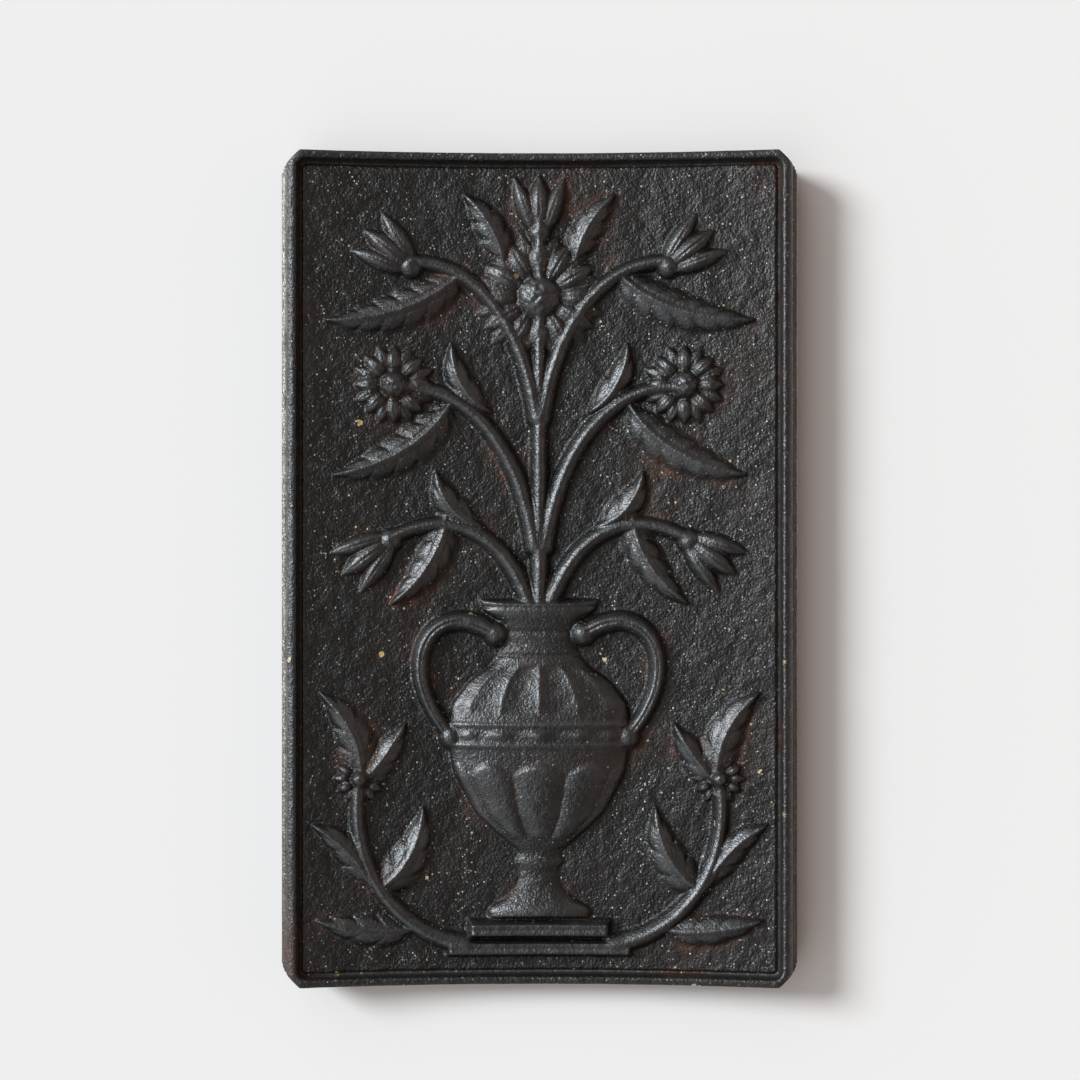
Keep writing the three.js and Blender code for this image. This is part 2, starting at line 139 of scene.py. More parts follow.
world = bpy.data.worlds.new("studio")
scene.world = world
world.use_nodes = True
sky = world.node_tree
sky.nodes.clear()
sky_ray = node(sky, "LightPath").outputs
sky_place = node(sky, "TexCoord")
sky_way = node(sky, "SeparateXYZ", in_0=sky_place.outputs["Generated"]).outputs
sky_left = spread(sky, sky_way["X"], *WINDOW_EDGE, AMBIENT_LEFT, 0.0)
sky_right = spread(sky, sky_way["X"], *WINDOW_EDGE, 0.0, AMBIENT_RIGHT)
sky_fill = spread(sky, sky_way["X"], *FILL_EDGE, 0.0, AMBIENT_FILL)
sky_ceiling = spread(sky, sky_way["Z"], *CEILING_EDGE, 0.0, AMBIENT_CEILING)
sky_dim = maths(sky, "ADD", sky_right, sky_fill, sky_ceiling)
sky_window = node(sky, "Background", in_Color=WINDOW_TINT, in_Strength=sky_left)
sky_room = node(sky, "Background", in_Color=ROOM_TINT, in_Strength=sky_dim)
sky_soft = node(sky, "AddShader", in_0=sky_window, in_1=sky_room)
sky_pale = node(sky, "Background", in_Color=PALE_TONE)
sky_mirrored = maths(sky, "MAXIMUM", sky_ray["Is Glossy Ray"], sky_ray["Is Transmission Ray"])
sky_behind = times(sky, sky_mirrored, spread(sky, sky_way["Y"], *PALE_EDGE))
sky_shown = maths(sky, "MAXIMUM", sky_ray["Is Camera Ray"], sky_behind)
sky_mix = node(sky, "MixShader", in_0=sky_shown, in_1=sky_soft, in_2=sky_pale)
node(sky, "OutputWorld", in_Surface=sky_mix)


def lamp(name, direction, strength, wide, colour=(1, 1, 1)):
    """A sun lamp shining along the direction, with its apparent width in degrees."""
    data = bpy.data.lights.new(name, "SUN")
    data.energy = strength
    data.angle = math.radians(wide)
    data.color = colour
    to = np.array(direction, float)
    to /= np.linalg.norm(to)
    turn = math.atan2(to[1], to[0]) - math.radians(90)
    put(name, data).rotation_euler = (math.acos(-to[2]), 0, turn)


lamp("window", (0.768, 0.545, -0.338), 3.80, 20, (0.865, 0.95, 1.0))
lamp("rear_fill", (-0.45, -0.86, -0.24), 1.8, 40)


def new_material(name):
    """A material with an empty node tree, and that tree."""
    material = bpy.data.materials.new(name)
    material.use_nodes = True
    material.node_tree.nodes.clear()
    return material, material.node_tree


def flat_sheet(name, low, high, material):
    """A flat sheet of the stage between two opposite corners, its first edge along x."""
    mesh = bpy.data.meshes.new(name)
    corners = [low, (high[0], low[1], low[2]), high, (low[0], high[1], high[2])]
    mesh.from_pydata(corners, [], [(0, 1, 2, 3)])
    mesh.materials.append(material)
    made = put(name, mesh)


# The ground behind the plate is there for the camera in front of it. Seen from behind, by a lamp's
# ray or from close by, it lets everything through, so the back is lit and can be looked at.
GROUND_PAPER = (0.802, 0.768, 0.750, 1)
FLOOR_PAPER = (0.80, 0.797, 0.795, 1)
GROUND_REACH = 2.4
GROUND_Y = WALL + 0.6 * MM
FLOOR_Z = -0.5 * MM
CLOSE_BY = 0.03

ground_material, ground = new_material("ground_paper")
ground_ray = node(ground, "LightPath").outputs
ground_back = node(ground, "NewGeometry").outputs["Backfacing"]
ground_close = maths(ground, "LESS_THAN", ground_ray["Ray Length"], CLOSE_BY)
ground_let = maths(ground, "MAXIMUM", ground_ray["Is Shadow Ray"], ground_back, ground_close)
ground_paint = node(ground, "BsdfDiffuse", in_Color=GROUND_PAPER)
ground_clear = node(ground, "BsdfTransparent")
ground_mix = node(ground, "MixShader", in_0=ground_let, in_1=ground_paint, in_2=ground_clear)
node(ground, "OutputMaterial", in_Surface=ground_mix)
flat_sheet(
    "ground",
    (-GROUND_REACH, GROUND_Y, -GROUND_REACH),
    (GROUND_REACH, GROUND_Y, GROUND_REACH),
    ground_material,
)

# The floor behind it is what the plate stands on when it is looked at from behind.
floor_material, floor = new_material("floor_paper")
floor_paint = node(floor, "BsdfDiffuse", in_Color=FLOOR_PAPER)
node(floor, "OutputMaterial", in_Surface=floor_paint)
flat_sheet(
    "floor",
    (-GROUND_REACH, GROUND_Y, FLOOR_Z),
    (GROUND_REACH, GROUND_REACH, FLOOR_Z),
    floor_material,
)

# --- The iron: sand-cast, graphite-blacked --------------------------------------------------
# Grey iron poured in an open sand mould and blacked. The raised forms and the bead are rubbed to a
# grey sheen, the hollows keep a brown bloom of rust and a little pale dust. Glints on the field and
# a highlight on the left ledges are painted, and the groove inside the bead is painted paler to
# lift its shade.


def group(name, inputs, outputs):
    """A shader node group with a Vector and the given numbers for inputs, each with its default,
    and numbers for outputs. Gives the group and the sockets of its inputs inside it."""
    made = bpy.data.node_groups.new(name, "ShaderNodeTree")
    made.interface.new_socket("Vector", in_out="INPUT", socket_type="NodeSocketVector")
    for label, default in inputs.items():
        socket = made.interface.new_socket(label, in_out="INPUT", socket_type="NodeSocketFloat")
        socket.default_value = default
    for label in outputs:
        made.interface.new_socket(label, in_out="OUTPUT", socket_type="NodeSocketFloat")
    return made, made.nodes.new("NodeGroupInput").outputs


def use(tree, shared, at, **values):
    """A shared node group placed in a material, with the place that its pattern is read at."""
    return node(tree, "Group", node_tree=shared, in_Vector=at, **values)


def clouds(tree, at, scale, detail, **values):
    """A noise texture read at a place."""
    values |= {"in_Vector": at, "in_Scale": scale, "in_Detail": detail}
    return node(tree, "TexNoise", **values)


def cells(tree, at, scale):
    """A cell pattern read at a place: the distance to the nearest of its random points."""
    return node(tree, "TexVoronoi", in_Vector=at, in_Scale=scale)


def blend_colour(tree, share, first, second):
    """Mixes two colours, each a socket or four numbers, by a share."""
    kind = {"data_type": "RGBA", "in_0": share}
    return node(tree, "Mix", **kind, in_6=first, in_7=second).outputs[2]


def close_material(tree, colour, metallic, rough, grain):
    """The shader of a material, with a grain's height for its bump."""
    bump = node(tree, "Bump", in_Strength=1.0, in_Distance=1.0, in_Height=grain)
    values = {"in_Base_Color": colour, "in_Metallic": metallic, "in_Roughness": rough}
    shader = node(tree, "BsdfPrincipled", **values, in_Normal=bump)
    node(tree, "OutputMaterial", in_Surface=shader)


# Sand grain: soft lumps, finer grit over them and scattered pits, as a height in metres that
# reaches about the depth.
GRIT_SHARE = 0.45
PIT_SHARE = -0.45
sand_grain, grain = group(
    "sand_grain",
    {"Lump Scale": 260.0, "Grit Scale": 900.0, "Pit Scale": 170.0, "Depth": 0.0005},
    ["Height"],
)
grain_at = grain["Vector"]
grain_lumps = clouds(sand_grain, grain_at, grain["Lump Scale"], 2.0)
grain_grit = clouds(sand_grain, grain_at, grain["Grit Scale"], 2.0, in_Roughness=0.6)
grain_grit = times(sand_grain, grain_grit, GRIT_SHARE)
grain_pits = times(sand_grain, cells(sand_grain, grain_at, grain["Pit Scale"]), PIT_SHARE)
grain_sum = maths(sand_grain, "ADD", grain_lumps, grain_grit, grain_pits)
node(sand_grain, "NodeGroupOutput", in_Height=times(sand_grain, grain_sum, grain["Depth"]))

# Specks of dust and straw, and painted glints: single specks in the cells of a cell pattern, only
# where a cell's own number is low.
dust_and_glint_specks, dust = group(
    "dust_and_glint_specks", {"Scale": 210.0, "Speck Size": 0.16, "Share": 0.06}, ["Mask", "Tint"]
)
speck_pattern = cells(dust_and_glint_specks, dust["Vector"], dust["Scale"])
speck_number = node(dust_and_glint_specks, "SeparateColor", in_0=speck_pattern.outputs["Color"]).outputs
speck_near = maths(dust_and_glint_specks, "LESS_THAN", speck_pattern, dust["Speck Size"])
speck_picked = maths(dust_and_glint_specks, "LESS_THAN", speck_number[0], dust["Share"])
speck_mask = times(dust_and_glint_specks, speck_near, speck_picked)
node(dust_and_glint_specks, "NodeGroupOutput", in_Mask=speck_mask, in_Tint=speck_number[1])

IRON_DARK = (0.0445, 0.0428, 0.0417, 1)
IRON_GREY = (0.099, 0.099, 0.101, 1)
# The bare ledges' colour, painted brighter than the iron as a highlight.
IRON_WORN_HIGHLIGHT = (0.265, 0.25, 0.225, 1)
IRON_METALLIC = 0.93
IRON_ROUGHNESS = 0.40
GRAIN_DEPTH = 0.73 * MM
# The groove inside the bead is painted this paler tone, a painted light that lifts its shade.
GROOVE_PAINTED_LIGHT = (0.105, 0.092, 0.082, 1)
RUST = (0.055, 0.021, 0.012, 1)
RUST_BRIGHT = (0.125, 0.042, 0.015, 1)
# Painted glints: pale specks that stand in for sparkles of reflected light.
PAINTED_GLINT = (0.55, 0.52, 0.47, 1)
DUST_PALE = (0.42, 0.38, 0.30, 1)
DUST_STRAW = (0.46, 0.30, 0.10, 1)
FLAKE_STRAW = (0.62, 0.50, 0.28, 1)
FLAKE_RAGGED = (4.5 * MM, 4.5 * MM, 4.5 * MM)
# What is laid on the iron, from the bottom up: painted glints, pale specks that stand in for
# sparkles of light, then dust and flakes of straw. Each has the scale of its cells, its size in a
# cell, the share of the cells that it is in, and the two colours that it varies between.
DUST_AND_GLINTS = {
    "glints": (600.0, 0.38, 0.17, PAINTED_GLINT, PAINTED_GLINT),
    "dust": (190.0, 0.17, 0.05, DUST_PALE, DUST_STRAW),
    "flakes": (58.0, 0.12, 0.06, FLAKE_STRAW, DUST_STRAW),
}
FINISH_MASKS = ("raised", "hollow", "worn_and_lit", "groove")

iron_material, iron = new_material("blacked_cast_iron")
iron_at = node(iron, "TexCoord").outputs["Object"]
iron_raised, iron_hollow, iron_worn_lit, iron_groove_lift = (
    node(iron, "Attribute", attribute_name=mask).outputs["Fac"] for mask in FINISH_MASKS
)
iron_normal = node(iron, "NewGeometry").outputs["True Normal"]
iron_front = node(iron, "SeparateXYZ", in_0=iron_normal)
iron_patches = clouds(iron, iron_at, 14.0, 4.0)
iron_mottle = clouds(iron, iron_at, 120.0, 3.0)

# The rubbed forms are grey, the hollows rusty in patches with brighter spots, and the groove is
# painted paler, a painted light that lifts its shade.
iron_rub = times(iron, iron_raised, spread(iron, iron_mottle, 0.3, 0.7, 0.55, 1.0))
iron_base = blend_colour(iron, iron_rub, IRON_DARK, IRON_GREY)
iron_rust_where = maths(iron, "ADD", times(iron, iron_hollow, 0.5), 0.15)
iron_rust = times(iron, iron_rust_where, spread(iron, iron_patches, 0.5, 0.68))
iron_deep = maths(iron, "POWER", iron_hollow, 2.0)
iron_spots = times(iron, iron_deep, spread(iron, iron_mottle, 0.54, 0.64))
iron_rust_tint = blend_colour(iron, iron_spots, RUST, RUST_BRIGHT)
iron_groove_lifted = blend_colour(iron, iron_groove_lift, iron_base, GROOVE_PAINTED_LIGHT)
iron_rusted = blend_colour(iron, iron_rust, iron_groove_lifted, iron_rust_tint)

# Dust and straw lie on the iron that faces forward and isn't raised, and painted glints are put
# there too.
iron_shift = clouds(iron, iron_at, 420.0, 1.0).outputs["Color"]
iron_shift = {"in_0": iron_shift, "in_1": FLAKE_RAGGED, "in_2": iron_at}
iron_ragged = node(iron, "VectorMath", operation="MULTIPLY_ADD", **iron_shift)
iron_flat = maths(iron, "SUBTRACT", 1.0, iron_raised, clamp=True)
iron_facing_flat = times(iron, spread(iron, iron_front.outputs["Y"], 0.0, -0.5), iron_flat)
iron_dust_and_glint_colour = iron_rusted
iron_dust_and_glints = 0.0
for kind, (scale, size, share, first, second) in DUST_AND_GLINTS.items():
    at = iron_ragged if kind == "flakes" else iron_at
    specks = use(iron, dust_and_glint_specks, at, in_Scale=scale, in_Speck_Size=size, in_Share=share)
    tint = specks.outputs["Tint"]
    covered = times(iron, specks, iron_facing_flat)
    if kind == "glints":
        covered = times(iron, covered, maths(iron, "POWER", tint, 4.0))
    iron_dust_and_glint_colour = blend_colour(iron, covered, iron_dust_and_glint_colour, blend_colour(iron, tint, first, second))
    iron_dust_and_glints = maths(iron, "ADD", iron_dust_and_glints, covered, clamp=True)
# The bare side ledges are bright, and on the left the brightness is a painted highlight that fades
# towards the foot.
iron_wear_highlight = times(iron, iron_worn_lit, spread(iron, iron_mottle, 0.35, 0.6, 0.35, 1.0))
iron_colour = blend_colour(iron, iron_wear_highlight, iron_dust_and_glint_colour, IRON_WORN_HIGHLIGHT)

# Rust, the groove's painted light, dust, straw and the painted glints take its metal sheen; rust is
# rougher, a rubbed form smoother.
iron_matt = maths(iron, "MAXIMUM", times(iron, iron_rust, 0.6), iron_groove_lift, iron_dust_and_glints)
iron_metal = times(iron, maths(iron, "SUBTRACT", 1.0, iron_matt), IRON_METALLIC)
iron_smooth = maths(iron, "SUBTRACT", IRON_ROUGHNESS, times(iron, iron_rub, 0.02))
iron_rough = maths(iron, "ADD", iron_smooth, times(iron, iron_rust, 0.2))
iron_depth = spread(iron, iron_raised, 0.2, 1.0, GRAIN_DEPTH, 0.68 * GRAIN_DEPTH)
iron_scales = {"in_Lump_Scale": 400.0, "in_Grit_Scale": 900.0, "in_Pit_Scale": 520.0}
iron_grain = use(iron, sand_grain, iron_at, **iron_scales, in_Depth=iron_depth)
close_material(iron, iron_colour, iron_metal, iron_rough, iron_grain)

# --- The relief's drawing -----------------------------------------------------------------
# The pattern pressed into the sand: an urn of flowers on a low plinth, the same on both sides.
# Every form is worked out in millimetres of the drawing, as a height over the field at each point.

DRAWN_WIDTH = 366.0
DRAWN_HEIGHT = 626.0


def smooth_higher(first, second, soft):
    """The higher of two heights, with the crease where they cross filled over the width soft."""
    near = np.maximum(soft - np.abs(first - second), 0.0) / soft
    return np.maximum(first, second) + near * near * soft / 4


def ease(value, low, high):
    """A smooth step from 0 at low to 1 at high."""
    share = np.clip((value - low) / (high - low), 0.0, 1.0)
    return share * share * (3 - 2 * share)


def ridge(far, reach):
    """A ridge of height 1 that falls as e to the minus square of the distance over the reach."""
    return np.exp(-((far / reach) ** 2))


def cubic(points, count=41):
    """Points on a Bezier curve of four control points, at equal steps of its parameter."""
    t = np.linspace(0, 1, count)[:, None]
    start, leave, arrive, end = np.array(points, float)
    s = 1 - t
    return s**3 * start + 3 * s**2 * t * leave + 3 * s * t * t * arrive + t**3 * end


def pointing(turn):
    """The direction at a turn clockwise from upright."""
    return np.array([math.sin(turn), math.cos(turn)])


def mirror(points, direction):
    """Drawn points on the right-hand half, or their mirror image."""
    return [(direction * x, z) for x, z in points]


class Field:
    """The heights of the relief on a grid of x (columns) and z (rows), in drawn millimetres."""

    def __init__(self, x, z):
        self.x = x
        self.z = z
        self.height = np.zeros((len(z), len(x)))

    def window(self, low, high):
        """The slices and the coordinates of the grid between two corners."""
        columns = slice(*np.searchsorted(self.x, (low[0], high[0])))
        rows = slice(*np.searchsorted(self.z, (low[1], high[1])))
        x, z = np.meshgrid(self.x[columns], self.z[rows])
        return (rows, columns), x, z

    def round_about(self, centre, reach):
        """The slices of the grid within reach of a centre, and its coordinates from there."""
        place, x, z = self.window(centre - reach, centre + reach)
        return place, x - centre[0], z - centre[1]

    def along(self, line, reach):
        """For the points near a line: their distance from it, and where along it, from 0 to 1."""
        place, x, z = self.window(line.min(axis=0) - reach, line.max(axis=0) + reach)
        best = np.full(x.shape, np.inf)
        where = np.zeros(x.shape)
        for i, (start, step) in enumerate(zip(line[:-1], np.diff(line, axis=0))):
            dx = x - start[0]
            dz = z - start[1]
            t = np.clip((dx * step[0] + dz * step[1]) / (step @ step), 0, 1)
            far = np.hypot(dx - t * step[0], dz - t * step[1])
            where = np.where(far < best, (i + t) / (len(line) - 1), where)
            best = np.minimum(far, best)
        return place, best, where

    def raise_to(self, place, values, soft):
        """Raises the field to the given heights, with a fillet of the width soft at their foot."""
        self.height[place] = smooth_higher(self.height[place], values, soft)


STEM_WIDTH = 16.0
STEM_HEIGHT = 9.5
STEM_START = 1.08  # a stem's share of its width where it starts
STEM_THINNING = 0.3
STEM_FALL = 0.15  # how much of its height a stem loses
STEM_GROOVE_REACH = 1.3
STEM_SOFT = 2.4


def press_stem(field, points, width=STEM_WIDTH, height=STEM_HEIGHT, groove=0.0):
    """A round stem, thinner to its end: height times one minus the square of the distance."""
    place, far, where = field.along(cubic(points), width)
    half = width / 2 * (STEM_START - STEM_THINNING * where)
    values = height * (1 - STEM_FALL * where) * (1 - (far / half) ** 2)
    field.raise_to(place, values - groove * ridge(far, STEM_GROOVE_REACH), STEM_SOFT)


LEAF_HEIGHT = 9.0
LEAF_ENDS_HEIGHT = 0.45  # the height at a leaf's two ends, as a share
LEAF_SKEW = 0.72  # under 1: the broadest place lies nearer the base
LEAF_FULLNESS = 0.75
LEAF_LEAST = 0.4
LEAF_SOFT = 1.6
LOBE_LENGTH = 17.0
LOBE_CUT = 0.12
LOBE_SLANT = 0.7
VEIN_DEPTH = 1.3
MIDRIB_HEIGHT = 0.9
MIDRIB_FALL = 0.6
MIDRIB_REACH = 1.6
MIDRIB_SIDE = 3.6  # how far beside the midrib the leaf sinks


def press_leaf(field, base, tip, width, bend):
    """A keeled leaf. Its half width is w (0.88 + 0.12 lobe), with w the sine of the place along it
    and lobe the sine of n times that place, slanted forward; veins lie between the lobes."""
    base, tip = np.array([base, tip], float)
    along = tip - base
    length = np.linalg.norm(along)
    across = bend * np.array([along[1], -along[0]]) / length
    line = cubic([base, base + 0.3 * along + across, base + 0.72 * along + 0.75 * across, tip])
    place, far, where = field.along(line, width)
    arch = np.sin(np.pi * np.clip(where, 0.02, 0.985) ** LEAF_SKEW)
    plain = width / 2 * arch**LEAF_FULLNESS + LEAF_LEAST
    slant = where * round(length / LOBE_LENGTH) - LOBE_SLANT * far / plain
    lobe = np.abs(np.sin(np.pi * slant))
    share = far / (plain * (1 - LOBE_CUT + LOBE_CUT * lobe**0.6))
    crown = LEAF_ENDS_HEIGHT + (1 - LEAF_ENDS_HEIGHT) * np.sin(np.pi * where) ** 0.6
    vein = VEIN_DEPTH * (1 - lobe) ** 3 * np.clip(share * 1.6 - 0.2, 0, 1)
    midrib = ridge(far, MIDRIB_REACH) - 0.9 * ridge(far - MIDRIB_SIDE, math.sqrt(2))
    carving = (MIDRIB_HEIGHT - MIDRIB_FALL * where) * midrib - vein
    values = LEAF_HEIGHT * crown * (1 - share**1.8) + carving * (share < 1)
    field.raise_to(place, values, LEAF_SOFT)


PETAL_HEIGHT = 8.5
PETAL_SOFT = 0.8
CREASE_DEPTH = 0.9
CREASE_REACH = 1.0
DOME_SOFT = 1.2
SEED_TURN = math.radians(137.5)
SEED_HEIGHT = 1.1
# The two rings of petals, the lower one first: how far it is turned, in petals; a petal's reach,
# half width and half length in shares of the flower's radius; and its share of the height.
PETAL_RINGS = ((0.5, 0.62, 0.2, 0.42, 0.72), (0.0, 0.58, 0.235, 0.4, 1.0))
FLOWER_BOSS = 0.4
FLOWER_BOSS_HEIGHT = 1.6 * PETAL_HEIGHT


def press_petal(field, middle, turn, half_width, half_length, height):
    """A pointed oval petal with a crease, its length turned clockwise from upright: height times
    one minus the square of the distance, in an oval that is pinched towards its ends."""
    place, x, z = field.round_about(middle, half_length + 4)
    along = (x * math.sin(turn) + z * math.cos(turn)) / half_length
    across = (x * math.cos(turn) - z * math.sin(turn)) / half_width
    pinch = np.maximum(1 - np.abs(along) ** 2.2, 0.02) ** 0.6
    share = np.hypot(across / pinch, along)
    crease = CREASE_DEPTH * ridge(across * half_width, CREASE_REACH) * (1 - along**2)
    field.raise_to(place, height * (1 - share**2) - crease * (share < 1), PETAL_SOFT)


def press_dome(field, centre, radius, height, soft=DOME_SOFT):
    """A round boss: height times one minus the 2.4th power of the distance over the radius."""
    place, x, z = field.round_about(np.array(centre), radius + 3)
    field.raise_to(place, height * (1 - (np.hypot(x, z) / radius) ** 2.4), soft)


def add_seeds(field, centre, radius, count, size):
    """Seeds on a boss, each a turn of 137.5 degrees on from the last, spreading as the root."""
    for number in range(count):
        out = radius * math.sqrt((number + 0.5) / count)
        place, x, z = field.round_about(centre + out * pointing(number * SEED_TURN), size)
        field.height[place] += SEED_HEIGHT * np.maximum(1 - (np.hypot(x, z) / size) ** 2, 0)


def press_flower(field, centre, radius, petals, seeds):
    """Two rings of petals round a seeded boss."""
    for turned_by, reach, half_width, half_length, share in PETAL_RINGS:
        sizes = (radius * half_width, radius * half_length, PETAL_HEIGHT * share)
        for number in range(petals):
            turn = (number + turned_by) / petals * 2 * math.pi
            press_petal(field, centre + radius * reach * pointing(turn), turn, *sizes)
    press_dome(field, centre, radius * FLOWER_BOSS, FLOWER_BOSS_HEIGHT, PETAL_SOFT)
    add_seeds(field, centre, radius * 0.35, seeds, radius * 0.055 + 0.6)


BUD_LENGTH = 52.0
BUD_WIDTH = 42.0
BUD_PARTING = 0.34
BUD_PROUD = 1.6  # how much higher the middle petal is


def press_bud(field, centre, turn):
    """A tulip-shaped bud: two outer petals that part, one between them, and a round calyx."""
    up = pointing(turn)
    across = up[::-1] * (1, -1)
    outer = (BUD_WIDTH * 0.2, BUD_LENGTH * 0.52, PETAL_HEIGHT)
    inner = (BUD_WIDTH * 0.24, BUD_LENGTH * 0.5, PETAL_HEIGHT + BUD_PROUD)
    for side in (-1, 1):
        middle = centre + across * side * BUD_WIDTH * 0.25
        press_petal(field, middle, turn + side * BUD_PARTING, *outer)
    press_petal(field, centre + up * 2, turn, *inner)
    press_dome(field, centre - up * BUD_LENGTH * 0.36, BUD_WIDTH * 0.24, PETAL_HEIGHT)


# The urn's outline from its foot up: half its width, and the level over the foot.
URN_OUTLINE = [
    (40, 0), (40, 8), (30, 13), (16, 24), (13, 38), (20, 44), (14, 51), (24, 58), (50, 82),
    (66, 112), (72, 142), (68, 168), (54, 186), (36, 198), (27, 214), (30, 230), (44, 240),
    (46, 248),
]
URN_FOOT = 40.0
URN_FLATNESS = 0.27
URN_SMOOTHING = 7  # how many millimetres of the outline are taken together
URN_SOFT = 2.4
URN_END_SLOPE = 3.0
URN_END_ROUND = 1.2
GADROONS = 5
GADROON_HEIGHT = 3.6
GADROON_TOP = 112
GADROON_ARCH = 9
STUDS = 7
STUD_HEIGHT = 2.8
STUD_LEVEL = 144
BAND_RINGS = (136, 152)
BAND_RING_HEIGHT = 2.0
FLUTE_DEPTH = 2.4
NECK_GROOVES = (205, 224, 243)
NECK_GROOVE_DEPTH = 1.3


def press_urn(field):
    """A turned urn, flattened: its height is the root of the radius squared less x squared."""
    radii, levels = np.array(URN_OUTLINE, float).T
    lip = levels[-1]
    place, x, z = field.window((-80, URN_FOOT - 2), (80, URN_FOOT + lip + 2))
    level = z - URN_FOOT
    fine = np.linspace(0, lip, round(lip) + 1)
    padded = np.pad(np.interp(fine, levels, radii), URN_SMOOTHING // 2, mode="edge")
    smooth = np.convolve(padded, np.ones(URN_SMOOTHING) / URN_SMOOTHING, "valid")
    radius = np.interp(level, fine, smooth)
    turn = np.arcsin(np.clip(x / radius, -1, 1))
    facing = np.cos(turn)
    values = URN_FLATNESS * radius * facing - 2.5 * np.maximum(np.abs(x) - radius, 0)

    # Gadroons on the lower body, rounded at their tops.
    lobe = np.abs(np.cos(GADROONS * turn))
    top = GADROON_TOP + GADROON_ARCH * lobe
    shown = ease(level, 60, 68) * (1 - ease(level, top - 3, top + 3))
    values += shown * (GADROON_HEIGHT * lobe**0.6 - 0.6) * facing

    # A band on the shoulder between two rings, with studs on it.
    for ring in BAND_RINGS:
        values += BAND_RING_HEIGHT * ridge(level - ring, 2.0)
    studs = np.abs(np.cos(STUDS * turn)) ** 2.5 * ridge(level - STUD_LEVEL, 3.4)
    values += STUD_HEIGHT * studs * facing

    # Flutes on the shoulder over it, and grooves round the neck and the lip.
    flute = np.abs(np.sin(STUDS * turn)) * ease(level, 158, 164) * (1 - ease(level, 192, 199))
    values -= FLUTE_DEPTH * flute**0.8 * facing
    for ring in NECK_GROOVES:
        values -= NECK_GROOVE_DEPTH * ridge(level - ring, 1.5)
    inside = np.minimum(level, lip - level) + URN_END_ROUND
    field.raise_to(place, np.minimum(values, URN_END_SLOPE * inside), URN_SOFT)


STEP_SLOPE = 3.0
STEP_GROOVE_DEPTH = 0.9
STEP_SOFT = 2.0


def press_step(field, half_width, low, high, height):
    """One step of the plinth: its height, or less on the slope at its edges, and a sunk line
    along its middle."""
    place, x, z = field.window((-half_width - 4, low - 4), (half_width + 4, high + 4))
    inside = np.minimum(half_width - np.abs(x), np.minimum(z - low, high - z))
    groove = STEP_GROOVE_DEPTH * ridge(z - (low + high) / 2, 1.2) * ease(inside, 3, 5)
    field.raise_to(place, np.minimum(height, STEP_SLOPE * inside) - groove, STEP_SOFT)


# The drawing, its right half where it is the same on both sides. Stems: four control points.
# Leaves: base, tip, width and bend. Flowers: centre, radius, petals and seeds. Buds: centre and
# turn. Steps of the plinth: half width, low and high edge and height.
MIDDLE_STEM = [(0, 285), (0, 360), (0, 440), (0, 590)]
MIDDLE_BUD = ((0, 594), 0.0)
MIDDLE_FLOWER = ((0, 525), 50.0, 12, 34)
SIDE_STEMS = [
    [(8, 285), (26, 338), (64, 362), (112, 338)],
    [(4, 330), (14, 402), (52, 456), (104, 454)],
    [(2, 430), (12, 500), (46, 552), (98, 552)],
    [(56, 20), (104, 26), (150, 74), (138, 150)],
]
LEAVES = [
    ((46, 346), (80, 388), 26, 12),
    ((72, 356), (114, 286), 28, 14),
    ((40, 436), (68, 488), 24, 12),
    ((70, 440), (158, 386), 32, 18),
    ((28, 552), (58, 604), 26, -8),
    ((60, 544), (164, 506), 32, 18),
    ((98, 32), (170, 40), 26, 6),
    ((130, 66), (174, 114), 26, -10),
    ((128, 62), (90, 126), 30, -16),
    ((138, 146), (168, 216), 30, -16),
    ((138, 146), (104, 192), 24, -4),
]
SIDE_FLOWERS = [((112, 456), 32.0, 8, 14), ((138, 150), 21.0, 6, 6)]
SIDE_BUDS = [((130, 324), 2.2), ((114, 560), 0.9)]
HANDLE = [(34, 262), (84, 296), (116, 236), (68, 182)]
HANDLE_WIDTH = 17.0
HANDLE_HEIGHT = 11.0
HANDLE_GROOVE = 1.4
HANDLE_BOSS = 11
PLINTH = ((72, 10, 24, 9.0), (56, 24, 40, 12.0))


def relief_heights(x, z):
    """The whole relief on a grid of x and z in drawn millimetres."""
    field = Field(x, z)
    for step in PLINTH:
        press_step(field, *step)
    press_stem(field, MIDDLE_STEM)
    for direction in (-1, 1):
        for points in SIDE_STEMS:
            press_stem(field, mirror(points, direction))
        for base, tip, width, bend in LEAVES:
            press_leaf(field, *mirror((base, tip), direction), width, direction * bend)
        handle = mirror(HANDLE, direction)
        press_stem(field, handle, HANDLE_WIDTH, HANDLE_HEIGHT, HANDLE_GROOVE)
        for end in (handle[0], handle[-1]):
            press_dome(field, end, HANDLE_BOSS, HANDLE_BOSS)
        for centre, *sizes in SIDE_FLOWERS:
            press_flower(field, *mirror([centre], direction), *sizes)
        for centre, turn in SIDE_BUDS:
            press_bud(field, *mirror([centre], direction), direction * turn)
    press_bud(field, *MIDDLE_BUD)
    press_flower(field, *MIDDLE_FLOWER)
    press_urn(field)
    return field.height


# --- The plate ------------------------------------------------------------------------------
# One iron casting: a hollow-curved sheet with a bead round its face, a stepped moulding down each
# side, clipped corners, and two flanges behind the sides that meet the wall. Its mesh is a closed
# loop in plan, carried up from the foot to the top, and is built in four courses.

